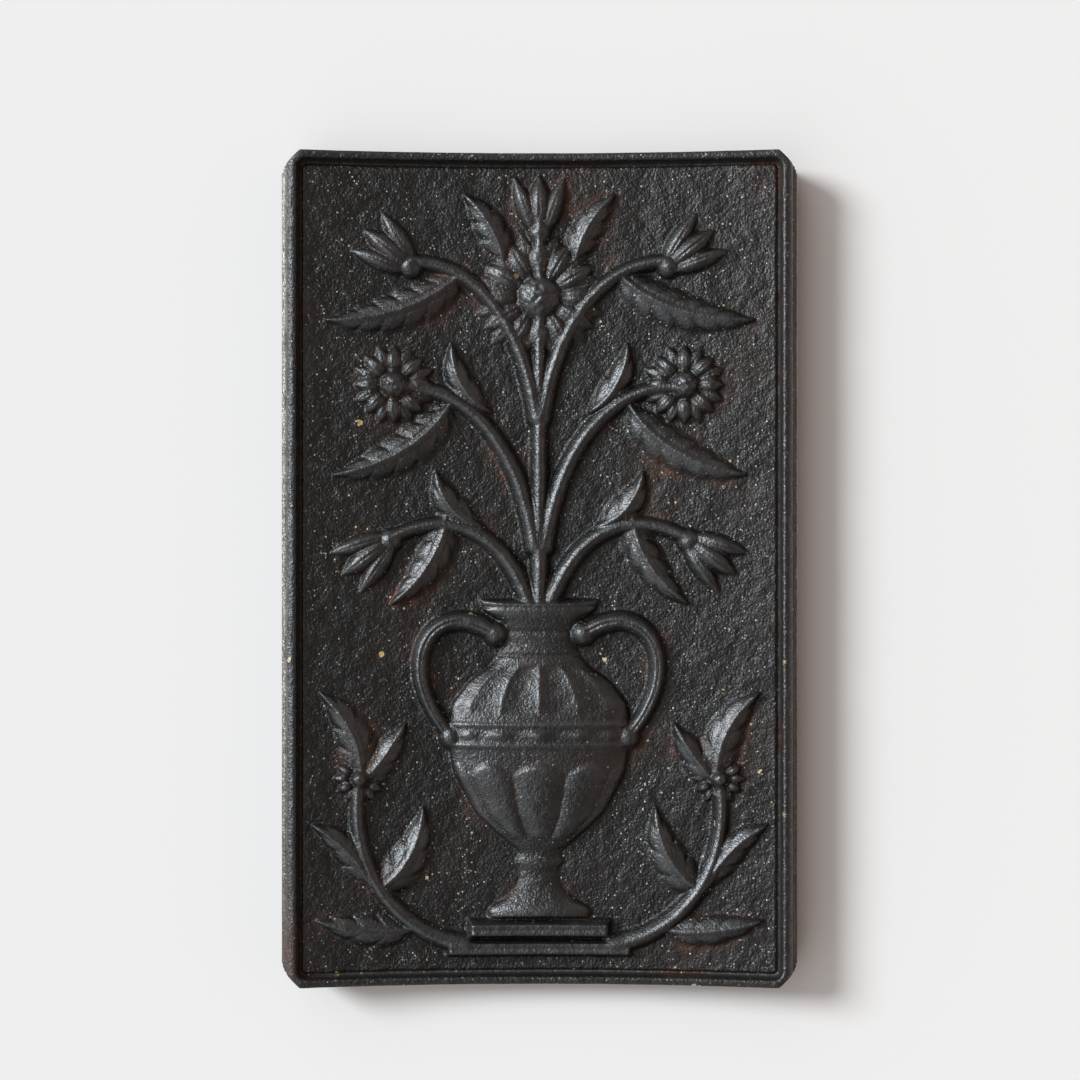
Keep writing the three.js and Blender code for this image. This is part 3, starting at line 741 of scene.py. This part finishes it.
CORNER_CUT = 16 * MM
FACE_HOLLOW = 16 * MM
SHEET = 7.5 * MM
BEAD_HEIGHT = 7 * MM
BEAD_REACH = 5.2 * MM
BEAD_CORNER = 9 * MM
BEAD_LEAN = 1.4 * MM  # how far the crest lies inside the middle of the bead
BEAD_INSIDE = 2.9 * MM  # from the crest to the groove inside the bead
BEAD_ROUND = 2.2
SIDE_LEDGE = 1.6 * MM
SIDE_LEDGE_DROPS = (19 * MM, 12 * MM, 7.5 * MM)
EDGE_ROUND = 0.5 * MM
END_CREST = 4.2 * MM
END_ZONE = 18 * MM
QUIRK = 1.4 * MM
QUIRK_REACH = 1.5 * MM  # half the groove's width
QUIRK_DEPTH = 2.6 * MM
FLANGE = 9 * MM
FLANGE_DRAFT = 3 * MM
ROOT_FILLET = 6 * MM
FACE_STEP = 1.15 * MM
BEAD_STEP = 0.8 * MM
BACK_STEP = 4.0 * MM
RELIEF_SOFT = 1.6 * MM

CREST_X = WIDTH / 2 - SIDE_LEDGE * len(SIDE_LEDGE_DROPS) - BEAD_REACH
FIELD_X = CREST_X - BEAD_REACH - QUIRK
FIELD_LOW = END_CREST + BEAD_REACH + QUIRK
BOW_RADIUS = (FIELD_X**2 + FACE_HOLLOW**2) / (2 * FACE_HOLLOW)


def bow(x):
    """How far back the hollow curve lies at x: an arc through the sides of the field."""
    inside = np.minimum(np.abs(x), FIELD_X)
    return np.sqrt(BOW_RADIUS**2 - inside**2) - (BOW_RADIUS - FACE_HOLLOW)


def steps(start, end, size):
    """Equal steps from start up to, but without, end, none longer than size."""
    count = max(1, math.ceil(abs(end - start) / size))
    return np.linspace(start, end, count, endpoint=False)


def noise(x, z, *layers):
    """Smooth random heights at columns x and rows z. Each layer is a height, a cell and a seed: a
    random number at every corner of a square grid, and cubic weights between the corners."""

    def weights(at, cell):
        at = at / cell - math.floor(at.min() / cell) + 1
        base = np.floor(at).astype(int)
        t = at - base
        table = np.zeros((len(at), base.max() + 4))
        cubics = (
            ((2 - t) * t - 1) * t / 2,
            ((3 * t - 5) * t * t + 2) / 2,
            ((4 - 3 * t) * t + 1) * t / 2,
            (t - 1) * t * t / 2,
        )
        for k, cubic_weight in enumerate(cubics):
            table[np.arange(len(at)), base + k - 1] += cubic_weight
        return table

    total = 0.0
    for height, cell, seed in layers:
        across, upward = weights(x, cell), weights(z, cell)
        size = (upward.shape[1], across.shape[1])
        corners = np.random.default_rng(seed).uniform(-1, 1, size)
        total = total + height * (upward @ corners @ across.T)
    return total


def rounded(points, radius, count=3):
    """A broken line with its corners rounded off by short parabolas."""
    points = np.array(points)
    line = [points[:1]]
    t = np.linspace(0, 1, count)[:, None]
    for before, corner, after in zip(points[:-2], points[1:-1], points[2:]):
        into, out = (
            arm / np.linalg.norm(arm) * min(radius, np.linalg.norm(arm) * 0.45)
            for arm in (before - corner, after - corner)
        )
        line.append(corner + into * (1 - t) ** 2 + out * t**2)
    line.append(points[-1:])
    return np.vstack(line)


# The plan of the right side moulding, from the bead's outer foot to the wall, and of the flange
# behind it back to the sheet, each corner eased.
moulding = []
edge = CREST_X + BEAD_REACH
for drop in reversed(SIDE_LEDGE_DROPS):
    moulding.append((edge, FACE + drop - SIDE_LEDGE / 2))
    edge += SIDE_LEDGE
    moulding.append((edge, FACE + drop))
back_y = FACE + BEAD_HEIGHT + SHEET
inner_root = WIDTH / 2 - FLANGE - FLANGE_DRAFT
root_end = inner_root - 2 * ROOT_FILLET
flange = [
    (WIDTH / 2, WALL),
    (WIDTH / 2 - FLANGE, WALL),
    (inner_root, back_y + ROOT_FILLET),
    (inner_root - ROOT_FILLET, back_y + 0.2 * MM),
    (root_end, back_y + bow(root_end)),
]
right_side = rounded(moulding + flange, EDGE_ROUND)
cut_x = WIDTH / 2 - CORNER_CUT
inward = np.flatnonzero((right_side[:-1, 0] > cut_x) & (right_side[1:, 0] < cut_x))[0]
before, after = right_side[inward], right_side[inward + 1]
crossing = before + (before[0] - cut_x) / (before[0] - after[0]) * (after - before)
right_side = np.insert(right_side, inward + 1, crossing, axis=0)

# The columns of the face, finer over the bead, and of the back, finer round the pads.
PAD_MARGIN = 2 * MM
PAD_COLUMNS = np.linspace(-3, 3, 9) * MM
pad_low, pad_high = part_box("bracket_right")
pad_edges = (pad_low[0] - PAD_MARGIN, pad_high[0] + PAD_MARGIN)
bead_in = CREST_X - BEAD_LEAN - BEAD_INSIDE - 2.6 * QUIRK_REACH
field_columns = steps(0, bead_in, FACE_STEP)
bead_columns = steps(bead_in, CREST_X + BEAD_REACH, BEAD_STEP)
half_face = np.unique(np.concatenate([field_columns, bead_columns, [cut_x]]))
face_x = np.concatenate([-half_face[:0:-1], half_face])
back_columns = [steps(0, right_side[-1, 0], BACK_STEP)]
back_half = np.unique(np.concatenate(back_columns + [at + PAD_COLUMNS for at in pad_edges]))
back_half = back_half[back_half < right_side[-1, 0] - 0.3 * MM]
back_x = np.concatenate([back_half[::-1], -back_half[1:]])

plan_x = np.concatenate([face_x, right_side[:, 0], back_x, -right_side[::-1, 0]])
face_y = FACE + BEAD_HEIGHT + bow(face_x)
plan_y = [face_y, right_side[:, 1], back_y + bow(back_x), right_side[::-1, 1]]
plan_y = np.concatenate(plan_y)
loop = len(plan_x)
around = np.arange(loop)
is_face = around < len(face_x)
back_first = len(face_x) + len(right_side)
is_back = (around >= back_first) & (around < back_first + len(back_x))

# Rows: fine over the end beads, even between them.
ends = np.append(steps(0, END_ZONE, BEAD_STEP), END_ZONE)
row_count = math.ceil((HEIGHT - 2 * END_ZONE) / FACE_STEP) + 1
row_z = [ends[:-1], np.linspace(END_ZONE, HEIGHT - END_ZONE, row_count), HEIGHT - ends[-2::-1]]
row_z = np.concatenate(row_z)
cut = np.maximum(np.abs(plan_x) - cut_x, 0)
low_share = np.clip(1 - row_z / END_ZONE, 0, 1)[:, None]
high_share = np.clip(1 - (HEIGHT - row_z) / END_ZONE, 0, 1)[:, None]
grid_z = row_z[:, None] + cut * (low_share - high_share)
grid_x = np.broadcast_to(plan_x, grid_z.shape).copy()
grid_y = np.broadcast_to(plan_y, grid_z.shape).copy()

# The bead: its round is an ellipse across the crest line, a rectangle with rounded corners.
bead_x = np.abs(grid_x[:, is_face]) - (CREST_X - BEAD_LEAN - BEAD_CORNER)
bead_z = np.abs(grid_z[:, is_face] - HEIGHT / 2) - (HEIGHT / 2 - END_CREST - BEAD_CORNER)
outside = np.hypot(np.maximum(bead_x, 0), np.maximum(bead_z, 0))
crest_far = outside + np.minimum(np.maximum(bead_x, bead_z), 0) - BEAD_CORNER
bead_reach = np.where(crest_far < 0, -BEAD_INSIDE, BEAD_REACH + BEAD_LEAN)
bead_share = crest_far / bead_reach
bead = BEAD_HEIGHT * np.sqrt(1 - np.clip(bead_share, 0, 1) ** BEAD_ROUND)
bead -= np.where(crest_far < 0, np.maximum(bead_share - 1, 0), 0) * 12 * MM
quirk_far = (crest_far + BEAD_INSIDE + QUIRK_REACH) / QUIRK_REACH
quirk = QUIRK_DEPTH * np.exp(-(quirk_far**4))

# The relief, raised over the field, and the unevenness that the sand leaves: waves and grit, less
# of both on what stands high.
FACE_WAVES = ((0.5 * MM, 16 * MM, 3), (0.3 * MM, 5 * MM, 5))
FACE_GRIT = (0.12 * MM, 2.4 * MM, 8)
BACK_WAVES = ((0.4 * MM, 34 * MM, 11), (0.3 * MM, 11 * MM, 12))
drawn_x = face_x * DRAWN_WIDTH / (2 * FIELD_X)
drawn_z = (row_z - FIELD_LOW) * DRAWN_HEIGHT / (HEIGHT - 2 * FIELD_LOW)
relief = relief_heights(drawn_x, drawn_z) * MM
front = smooth_higher(bead, relief - quirk, RELIEF_SOFT)
calm = np.clip(front / BEAD_HEIGHT, 0, 1)
wave = noise(face_x, row_z, *FACE_WAVES) * (1 - 0.5 * calm)
front = front + wave + noise(face_x, row_z, FACE_GRIT) * (1 - 0.3 * calm)
grid_y[:, is_face] = np.maximum(grid_y[:, is_face] - front, FACE + 0.02 * MM)

# The back: sand-rough, with a pad for each bracket and the ground-off stub of the pouring gate.
PAD_RISE = 1.0 * MM  # how far outside its edges a pad begins to rise
PAD_SLOPE = 6
GATE_HEIGHT = 1.8 * MM
GATE_REACH = 46 * MM  # half the length of the stub that the pouring gate leaves
GATE_RISE = 7 * MM
GATE_PLACE = 0.52 * HEIGHT
far_x, far_z = grid_x[:, is_back], grid_z[:, is_back]
rough_y = grid_y[:, is_back] + noise(back_x, row_z, *BACK_WAVES)
pad_inside = np.minimum(
    np.minimum(np.abs(far_x) - pad_edges[0], pad_edges[1] - np.abs(far_x)),
    np.minimum(far_z - (pad_low[2] - PAD_MARGIN), (pad_high[2] + PAD_MARGIN) - far_z),
)
pad_y = np.minimum(pad_low[1], rough_y + PAD_SLOPE * (pad_inside + PAD_RISE))
rough_y = np.where(pad_inside > -PAD_RISE, np.maximum(rough_y, pad_y), rough_y)
gate_far = (far_x / GATE_REACH) ** 4 + ((far_z - GATE_PLACE) / GATE_RISE) ** 4
gate = GATE_HEIGHT * np.clip(1.6 - 0.8 * gate_far, 0, 1)
grid_y[:, is_back] = np.minimum(rough_y + gate, WALL)


def blurred(values, reach):
    """The running mean over a square of 2 reach + 1 points each way."""
    width = 2 * reach + 1
    for _ in range(2):
        total = np.cumsum(np.pad(values, ((reach + 1, reach), (0, 0)), mode="edge"), axis=0)
        values = ((total[width:] - total[:-width]) / width).T
    return values


# What the finish follows: 'raised' where the iron is rubbed, 'hollow' where dust and rust stay, a
# mask of the bare side ledges that also paints a highlight on the left ones, fading towards the
# foot, and 'groove' where the groove inside the bead is painted paler, a painted light that lifts
# its shade.
# The iron is damp and rusty low down at the sides.
PROUD_RUBBED = 1.3 * MM
PROUD_HOLLOW = 0.9 * MM
HIGH_RUBBED = 9 * MM
DAMP_EDGE = (0.43 * WIDTH, 0.49 * WIDTH)
DAMP_RISE = (0.02 * HEIGHT, 0.2 * HEIGHT)
# The ledges are bare on both sides, with a painted highlight that is strong on the left, as if lit
# from there, and fades towards the foot.
WORN_LIT_RISE = (-0.1 * HEIGHT, 0.4 * HEIGHT)
WORN_LIT_LEFT = 0.9
WORN_LIT_RIGHT = 0.1
# How much of the groove's paler, painted-light tone is laid on.
GROOVE_LIFT = 0.6
aside = np.abs(grid_x)
end_crest_z = HEIGHT / 2 - END_CREST
lift = np.zeros(grid_y.shape)
lift[:, is_face] = front
proud = lift - blurred(lift, 7)
rubbed = np.clip(proud / PROUD_RUBBED, 0, 1) * 0.65 + np.clip(lift / HIGH_RUBBED, 0, 1) * 0.5
end_bead = ease(np.abs(grid_z - HEIGHT / 2), end_crest_z - 2 * BEAD_REACH, end_crest_z)
side_bead = ease(aside, CREST_X - 2 * BEAD_REACH, CREST_X - BEAD_LEAN)
bead_dulled = 1 - np.maximum(0.6 * end_bead, 0.45 * side_bead)
damp = ease(aside, *DAMP_EDGE) * (1 - ease(grid_z, *DAMP_RISE))
sunk = np.clip(-proud / PROUD_HOLLOW, 0, 1) * is_face
ledge = ease(aside, CREST_X + 2 * MM, CREST_X + BEAD_REACH)
ledge = ledge * (grid_y < FACE + SIDE_LEDGE_DROPS[0])
# The groove's painted light: a paler tone where the groove inside the bead lies in shade.
groove_lift = np.zeros(grid_y.shape)
groove_lift[:, is_face] = GROOVE_LIFT * quirk / QUIRK_DEPTH
finish = {
    "raised": np.clip(rubbed, 0, 1) * is_face * bead_dulled,
    "hollow": np.clip(sunk + is_back * 0.35 + 0.9 * damp, 0, 1),
    # Bare ledges, with a painted highlight on the left that fades towards the foot.
    "worn_and_lit": ledge * np.where(grid_x < 0, WORN_LIT_LEFT * ease(grid_z, *WORN_LIT_RISE), WORN_LIT_RIGHT),
    "groove": groove_lift,
}

# Outward normals of the closed loop grid: along the plan crossed with along the height.
points = np.stack([grid_x, grid_y, grid_z], axis=2)
along_plan = np.roll(points, -1, axis=1) - np.roll(points, 1, axis=1)
normals = np.cross(along_plan, np.gradient(points, axis=0))
normals /= np.maximum(np.linalg.norm(normals, axis=2, keepdims=True), 1e-12)

# The end faces as rings of plan points: the flat middle, and the two clipped corners.
at_cut = np.flatnonzero(np.isclose(np.abs(plan_x), cut_x, atol=1e-7))
left_face, right_face, right_back, left_back = at_cut[:4]
END_RINGS = [
    np.concatenate([around[left_face : right_face + 1], around[right_back : left_back + 1]]),
    around[right_face : right_back + 1],
    np.concatenate([around[left_back:], around[: left_face + 1]]),
]


def grid_quads(rows, loop, ring=False):
    """The faces between the rows of a closed loop; a ring joins its last row to its first."""
    here = np.arange(loop)
    beside = (here + 1) % loop
    low = np.arange(rows if ring else rows - 1)[:, None] * loop
    high = (low + loop) % (rows * loop)
    quads = [low + here, low + beside, high + beside, high + here]
    return np.stack(quads, axis=2).reshape(-1, 4)


def course(name, first, last):
    """One closed course of the plate, from one row to another: quads between the rows, and faces
    that close it below and above."""
    rows = last - first + 1
    quads = grid_quads(rows, loop)
    low_rings = END_RINGS if first == 0 else [around]
    high_rings = END_RINGS if last == len(row_z) - 1 else [around]
    caps = [ring[::-1] for ring in low_rings] + [ring + (rows - 1) * loop for ring in high_rings]
    corners = np.concatenate([quads.ravel()] + caps)
    sizes = np.concatenate([np.full(len(quads), 4), [len(ring) for ring in caps]])
    starts = np.concatenate([[0], np.cumsum(sizes)[:-1]])
    mesh = bpy.data.meshes.new(name)
    mesh.vertices.add(rows * loop)
    mesh.vertices.foreach_set("co", points[first : last + 1].reshape(-1).astype(np.float32))
    mesh.loops.add(len(corners))
    mesh.loops.foreach_set("vertex_index", corners.astype(np.int32))
    mesh.polygons.add(len(sizes))
    mesh.polygons.foreach_set("loop_start", starts.astype(np.int32))
    smooth = np.concatenate([np.ones(len(quads), bool), np.zeros(len(caps), bool)])
    mesh.update(calc_edges=True)
    mesh.polygons.foreach_set("use_smooth", smooth)
    flat = np.zeros(3 * len(sizes), np.float32)
    mesh.polygons.foreach_get("normal", flat)
    flat = np.repeat(flat.reshape(-1, 3), sizes, axis=0)
    own = normals[first : last + 1].reshape(-1, 3)[corners]
    own = np.where(np.repeat(smooth, sizes)[:, None], own, flat)
    mesh.normals_split_custom_set(own.tolist())
    for label in FINISH_MASKS:
        layer = mesh.attributes.new(label, "FLOAT", "POINT")
        layer.data.foreach_set("value", finish[label][first : last + 1].ravel().astype(np.float32))
    mesh.materials.append(iron_material)
    made = put(name, mesh)
    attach(made, "plate")
    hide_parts("plate")


COURSES = ("foot", "lower", "upper", "top")
breaks = np.linspace(0, len(row_z) - 1, len(COURSES) + 1).astype(int)
for label, first, last in zip(COURSES, breaks[:-1], breaks[1:]):
    course(f"plate_{label}_course", first, last)

# --- The two brackets -----------------------------------------------------------------------
# Each is folded from 2.5 mm steel sheet, painted black: a base screwed to a pad on the back, and
# two ears joined over the pivot by the web that stops the stay.

STEEL_BLACK = (0.016, 0.016, 0.0165, 1)
STEEL_BARE = (0.36, 0.35, 0.34, 1)
STEEL_GRAIN = {"in_Lump_Scale": 900.0, "in_Grit_Scale": 2600.0, "in_Pit_Scale": 700.0}
STEEL_GRAIN_DEPTH = 0.12 * MM
EDGE_EASE = 0.35 * MM
EDGE_ANGLE = math.radians(32)
FLAT_ANGLE = math.radians(1)

# Edge wear: where the rounded normal parts from the true one, broken up by noise.
edge_wear, wear = group("edge_wear", {"Scale": 300.0, "Strength": 1.0}, ["Mask"])
wear_true = node(edge_wear, "NewGeometry").outputs["True Normal"]
wear_round = node(edge_wear, "Bevel", samples=6, in_Radius=0.6 * MM)
wear_pair = {"in_0": wear_round, "in_1": wear_true}
wear_dot = node(edge_wear, "VectorMath", operation="DOT_PRODUCT", **wear_pair)
wear_edge = spread(edge_wear, wear_dot.outputs["Value"], 0.995, 0.93)
wear_patch = spread(edge_wear, clouds(edge_wear, wear["Vector"], wear["Scale"], 4.0), 0.42, 0.62)
wear_mask = times(edge_wear, wear_edge, wear_patch, wear["Strength"])
node(edge_wear, "NodeGroupOutput", in_Mask=wear_mask)

steel_material, steel = new_material("black_painted_steel")
steel_at = node(steel, "TexCoord").outputs["Object"]
steel_wear = use(steel, edge_wear, steel_at, in_Scale=260.0, in_Strength=0.8)
steel_dust = use(steel, dust_and_glint_specks, steel_at, in_Scale=420.0, in_Speck_Size=0.14, in_Share=0.05)
steel_worn = blend_colour(steel, steel_wear, STEEL_BLACK, STEEL_BARE)
steel_colour = blend_colour(steel, steel_dust, steel_worn, DUST_PALE)
steel_rough = spread(steel, clouds(steel, steel_at, 60.0, 4.0), 0.3, 0.7, 0.36, 0.5)
steel_grain = use(steel, sand_grain, steel_at, **STEEL_GRAIN, in_Depth=STEEL_GRAIN_DEPTH)
close_material(steel, steel_colour, steel_wear, steel_rough, steel_grain)


def place(mesh, material, crease, replaced, body, slot):
    """A piece with round faces that part at edges over an angle, of one material, put on its body
    in the place of the node it stands for."""
    mesh.polygons.foreach_set("use_smooth", np.ones(len(mesh.polygons), bool))
    mesh.set_sharp_from_angle(angle=crease)
    mesh.materials.clear()
    mesh.materials.append(material)
    made = put(mesh.name, mesh)
    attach(made, body)
    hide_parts(replaced)
    return made


def eased_copy(name, cad_node, body):
    """A copy of a steel CAD node with its flat faces merged and its edges eased."""
    mesh = bpy.data.meshes.new(name)
    work = bmesh.new()
    work.from_mesh(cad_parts[cad_node].data)
    bmesh.ops.remove_doubles(work, verts=work.verts, dist=1e-6)
    bmesh.ops.dissolve_limit(work, angle_limit=FLAT_ANGLE, verts=work.verts, edges=work.edges)
    work.to_mesh(mesh)
    work.free()
    made = place(mesh, steel_material, EDGE_ANGLE, cad_node, body, "blackened_steel")
    easing = made.modifiers.new("eased_edges", "BEVEL")
    easing.width = EDGE_EASE
    easing.segments = 2
    easing.limit_method = "ANGLE"
    easing.angle_limit = EDGE_ANGLE
    easing.harden_normals = True


for side in ("left", "right"):
    eased_copy(f"folded_bracket_{side}", f"bracket_{side}", "plate")

# --- The two stays --------------------------------------------------------------------------
# Flat steel bars on edge, painted black, each hung on its pivot and free to swing out to the
# bracket's stop. The foot is cut on the slope at which it meets the hearth.

for side in ("left", "right"):
    eased_copy(f"steel_stay_{side}", f"stay_{side}", f"stay_{side}")

# --- Screws, pivot bolts, nuts and washers --------------------------------------------------
# Zinc-plated M6 steel: hexagon screws hold the brackets in tapped holes; each stay turns on a
# hexagon bolt with a washer under its head and another under its nut.

ZINC = (0.33, 0.34, 0.35, 1)
ZINC_CLOUDED = (0.43, 0.43, 0.42, 1)
ZINC_GRAIN = {"in_Lump_Scale": 1500.0, "in_Grit_Scale": 4000.0, "in_Pit_Scale": 1500.0}
ZINC_GRAIN_DEPTH = 0.05 * MM

zinc_material, zinc = new_material("zinc_plated_steel")
zinc_at = node(zinc, "TexCoord").outputs["Object"]
zinc_cloud = clouds(zinc, zinc_at, 420.0, 4.0)
zinc_colour = blend_colour(zinc, spread(zinc, zinc_cloud, 0.3, 0.7), ZINC, ZINC_CLOUDED)
zinc_rough = spread(zinc, zinc_cloud, 0.3, 0.7, 0.5, 0.38)
zinc_grain = use(zinc, sand_grain, zinc_at, **ZINC_GRAIN, in_Depth=ZINC_GRAIN_DEPTH)
close_material(zinc, zinc_colour, 1.0, zinc_rough, zinc_grain)

HEX_RADIUS = 5 * MM  # half the width across the flats
HEX_CHAMFER = math.radians(30)
HEX_FACE = 0.9 * HEX_RADIUS  # the flat round inside the chamfer
HEX_CONE = 0.91 * HEX_RADIUS
HEAD_HEIGHT = 4 * MM
HEAD_WASHER_FACE = 0.94 * HEX_RADIUS
CHAMFER_ROWS = (0.04 * MM, 0.15 * MM, 0.3 * MM, 0.45 * MM, 0.7 * MM, 1.3 * MM)
SHANK = 3 * MM
SHANK_END = 0.8 * SHANK
SHANK_POINT = 0.6 * MM
PITCH = 1 * MM
PITCH_ROWS = 8
THREAD_LENGTH = 8 * MM
THREAD_DEPTH = 0.55 * MM
THREAD_START = 0.86  # the first turn's share of the radius
SOFT_EDGE = 0.3 * MM
NUT_BORE = SHANK + 0.12 * MM
NUT_COUNTERSINK = 0.35 * MM
WASHER_BORE = SHANK + 0.3 * MM
WASHER_EDGE = 0.2 * MM
CREASE_ANGLE = math.radians(28)
TURN_STEPS = 48

# The directions round each axis that a fastener points along: across, and up.
ROUND_AXIS = {
    "+y": ((0, 1, 0), (0, 0, 1), (1, 0, 0)),
    "+x": ((1, 0, 0), (0, 1, 0), (0, 0, 1)),
    "-x": ((-1, 0, 0), (0, 0, 1), (0, 1, 0)),
}
turns = np.arange(TURN_STEPS) / TURN_STEPS * 2 * math.pi


def hexagon(axis):
    """The radius of the hexagon at every turn: half its width over the cosine to its flat."""
    corner = 0.0 if axis != "+x" else math.radians(90)
    return HEX_RADIUS / np.cos((turns - corner) % math.radians(60) - math.radians(30))


def turned(name, replaced, axis, rows, ring=False):
    """A surface round an axis. rows: the height along it and the radius, one number or one per
    turn. A ring joins its last row to its first; anything else is closed by a face at each end."""
    low, high = (np.array(corner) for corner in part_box(replaced))
    along, across, up = np.array(ROUND_AXIS[axis], float)
    middle = (low + high) / 2
    middle = middle - along * (middle @ along)
    heights = np.array([height for height, _ in rows])[:, None, None]
    radii = np.array([np.broadcast_to(radius, TURN_STEPS) for _, radius in rows])[:, :, None]
    around_axis = np.cos(turns)[:, None] * across + np.sin(turns)[:, None] * up
    co = middle + heights * along + radii * around_axis
    faces = grid_quads(len(rows), TURN_STEPS, ring).tolist()
    if not ring:
        end = np.arange(TURN_STEPS)
        faces += [end[::-1].tolist(), ((len(rows) - 1) * TURN_STEPS + end).tolist()]
    mesh = bpy.data.meshes.new(name)
    mesh.from_pydata(co.reshape(-1, 3), [], faces)
    place(mesh, zinc_material, CREASE_ANGLE, replaced, "plate", "zinc_steel")


def chamfered(axis, end, inward):
    """A hexagon from its flat end inward (1 or -1 along the axis), cut by a cone at the end."""
    rows = [(end, HEX_FACE)]
    for far in CHAMFER_ROWS:
        cone = HEX_CONE + far / math.tan(HEX_CHAMFER)
        rows.append((end + inward * far, np.minimum(hexagon(axis), cone)))
    return rows


def ends_along(cad_node, way):
    """Where a fastener begins and ends across the plate, measured the way that it points."""
    return sorted(way * corner[0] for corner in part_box(cad_node))


def head_rows(axis, top):
    """A hexagon head, from the shank's end under its washer face up to its chamfered top."""
    underside = top - HEAD_HEIGHT
    return [
        (underside, SHANK),
        (underside, HEAD_WASHER_FACE),
        (underside + 0.25 * MM, HEAD_WASHER_FACE),
        (underside + SOFT_EDGE, hexagon(axis)),
        *reversed(chamfered(axis, top, -1)),
    ]


def thread_rows(start, end):
    """A right-hand thread: the radius falls and rises once in every pitch of height and turn."""
    heights = np.linspace(start, end, round((end - start) / PITCH * PITCH_ROWS) + 1)[:, None]
    phase = (heights / PITCH - turns / (2 * math.pi)) % 1.0
    groove = 1 - np.abs(2 * phase - 1)
    ended = np.minimum(1.0, (heights - start + 0.15 * MM) / PITCH)
    radii = (SHANK - THREAD_DEPTH * groove) * (THREAD_START + (1 - THREAD_START) * ended)
    return list(zip(heights[:, 0], radii))


for side in ("left", "right"):
    for spot in ("upper", "lower_inner", "lower_outer"):
        screw_node = f"screw_{side}_{spot}"
        screw_low, screw_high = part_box(screw_node)
        rows = [(screw_low[1], SHANK_END), (screw_low[1] + SHANK_POINT, SHANK)]
        rows += head_rows("+y", screw_high[1])
        turned(f"hex_screw_{side}_{spot}", screw_node, "+y", rows)

    # The bolt's head is outermost, so its own axis points away from the middle of the plate.
    axis, way = ("-x", -1) if side == "left" else ("+x", 1)

    bolt_node = f"pivot_bolt_{side}"
    inner, outer = ends_along(bolt_node, way)
    threaded = inner + THREAD_LENGTH
    rows = thread_rows(inner, threaded) + [(threaded + SOFT_EDGE, SHANK)]
    turned(f"hinge_bolt_{side}", bolt_node, axis, rows + head_rows(axis, outer))

    nut_node = f"pivot_nut_{side}"
    inner, outer = ends_along(nut_node, way)
    rows = [(inner + SOFT_EDGE, NUT_BORE), (inner, NUT_BORE + NUT_COUNTERSINK)]
    rows += chamfered(axis, inner, 1)
    rows += [(inner + outer - height, radius) for height, radius in reversed(rows)]
    turned(f"hinge_nut_{side}", nut_node, axis, rows, ring=True)

    for spot in ("head", "nut"):
        washer_node = f"pivot_washer_{side}_{spot}"
        washer_low, washer_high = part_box(washer_node)
        inner, outer = ends_along(washer_node, way)
        rim = (washer_high[2] - washer_low[2]) / 2
        rows = [(inner + WASHER_EDGE, WASHER_BORE), (inner, WASHER_BORE + WASHER_EDGE)]
        rows += [(inner, rim - WASHER_EDGE), (inner + WASHER_EDGE, rim)]
        rows += [(inner + outer - height, radius) for height, radius in reversed(rows)]
        turned(f"hinge_washer_{side}_{spot}", washer_node, axis, rows, ring=True)
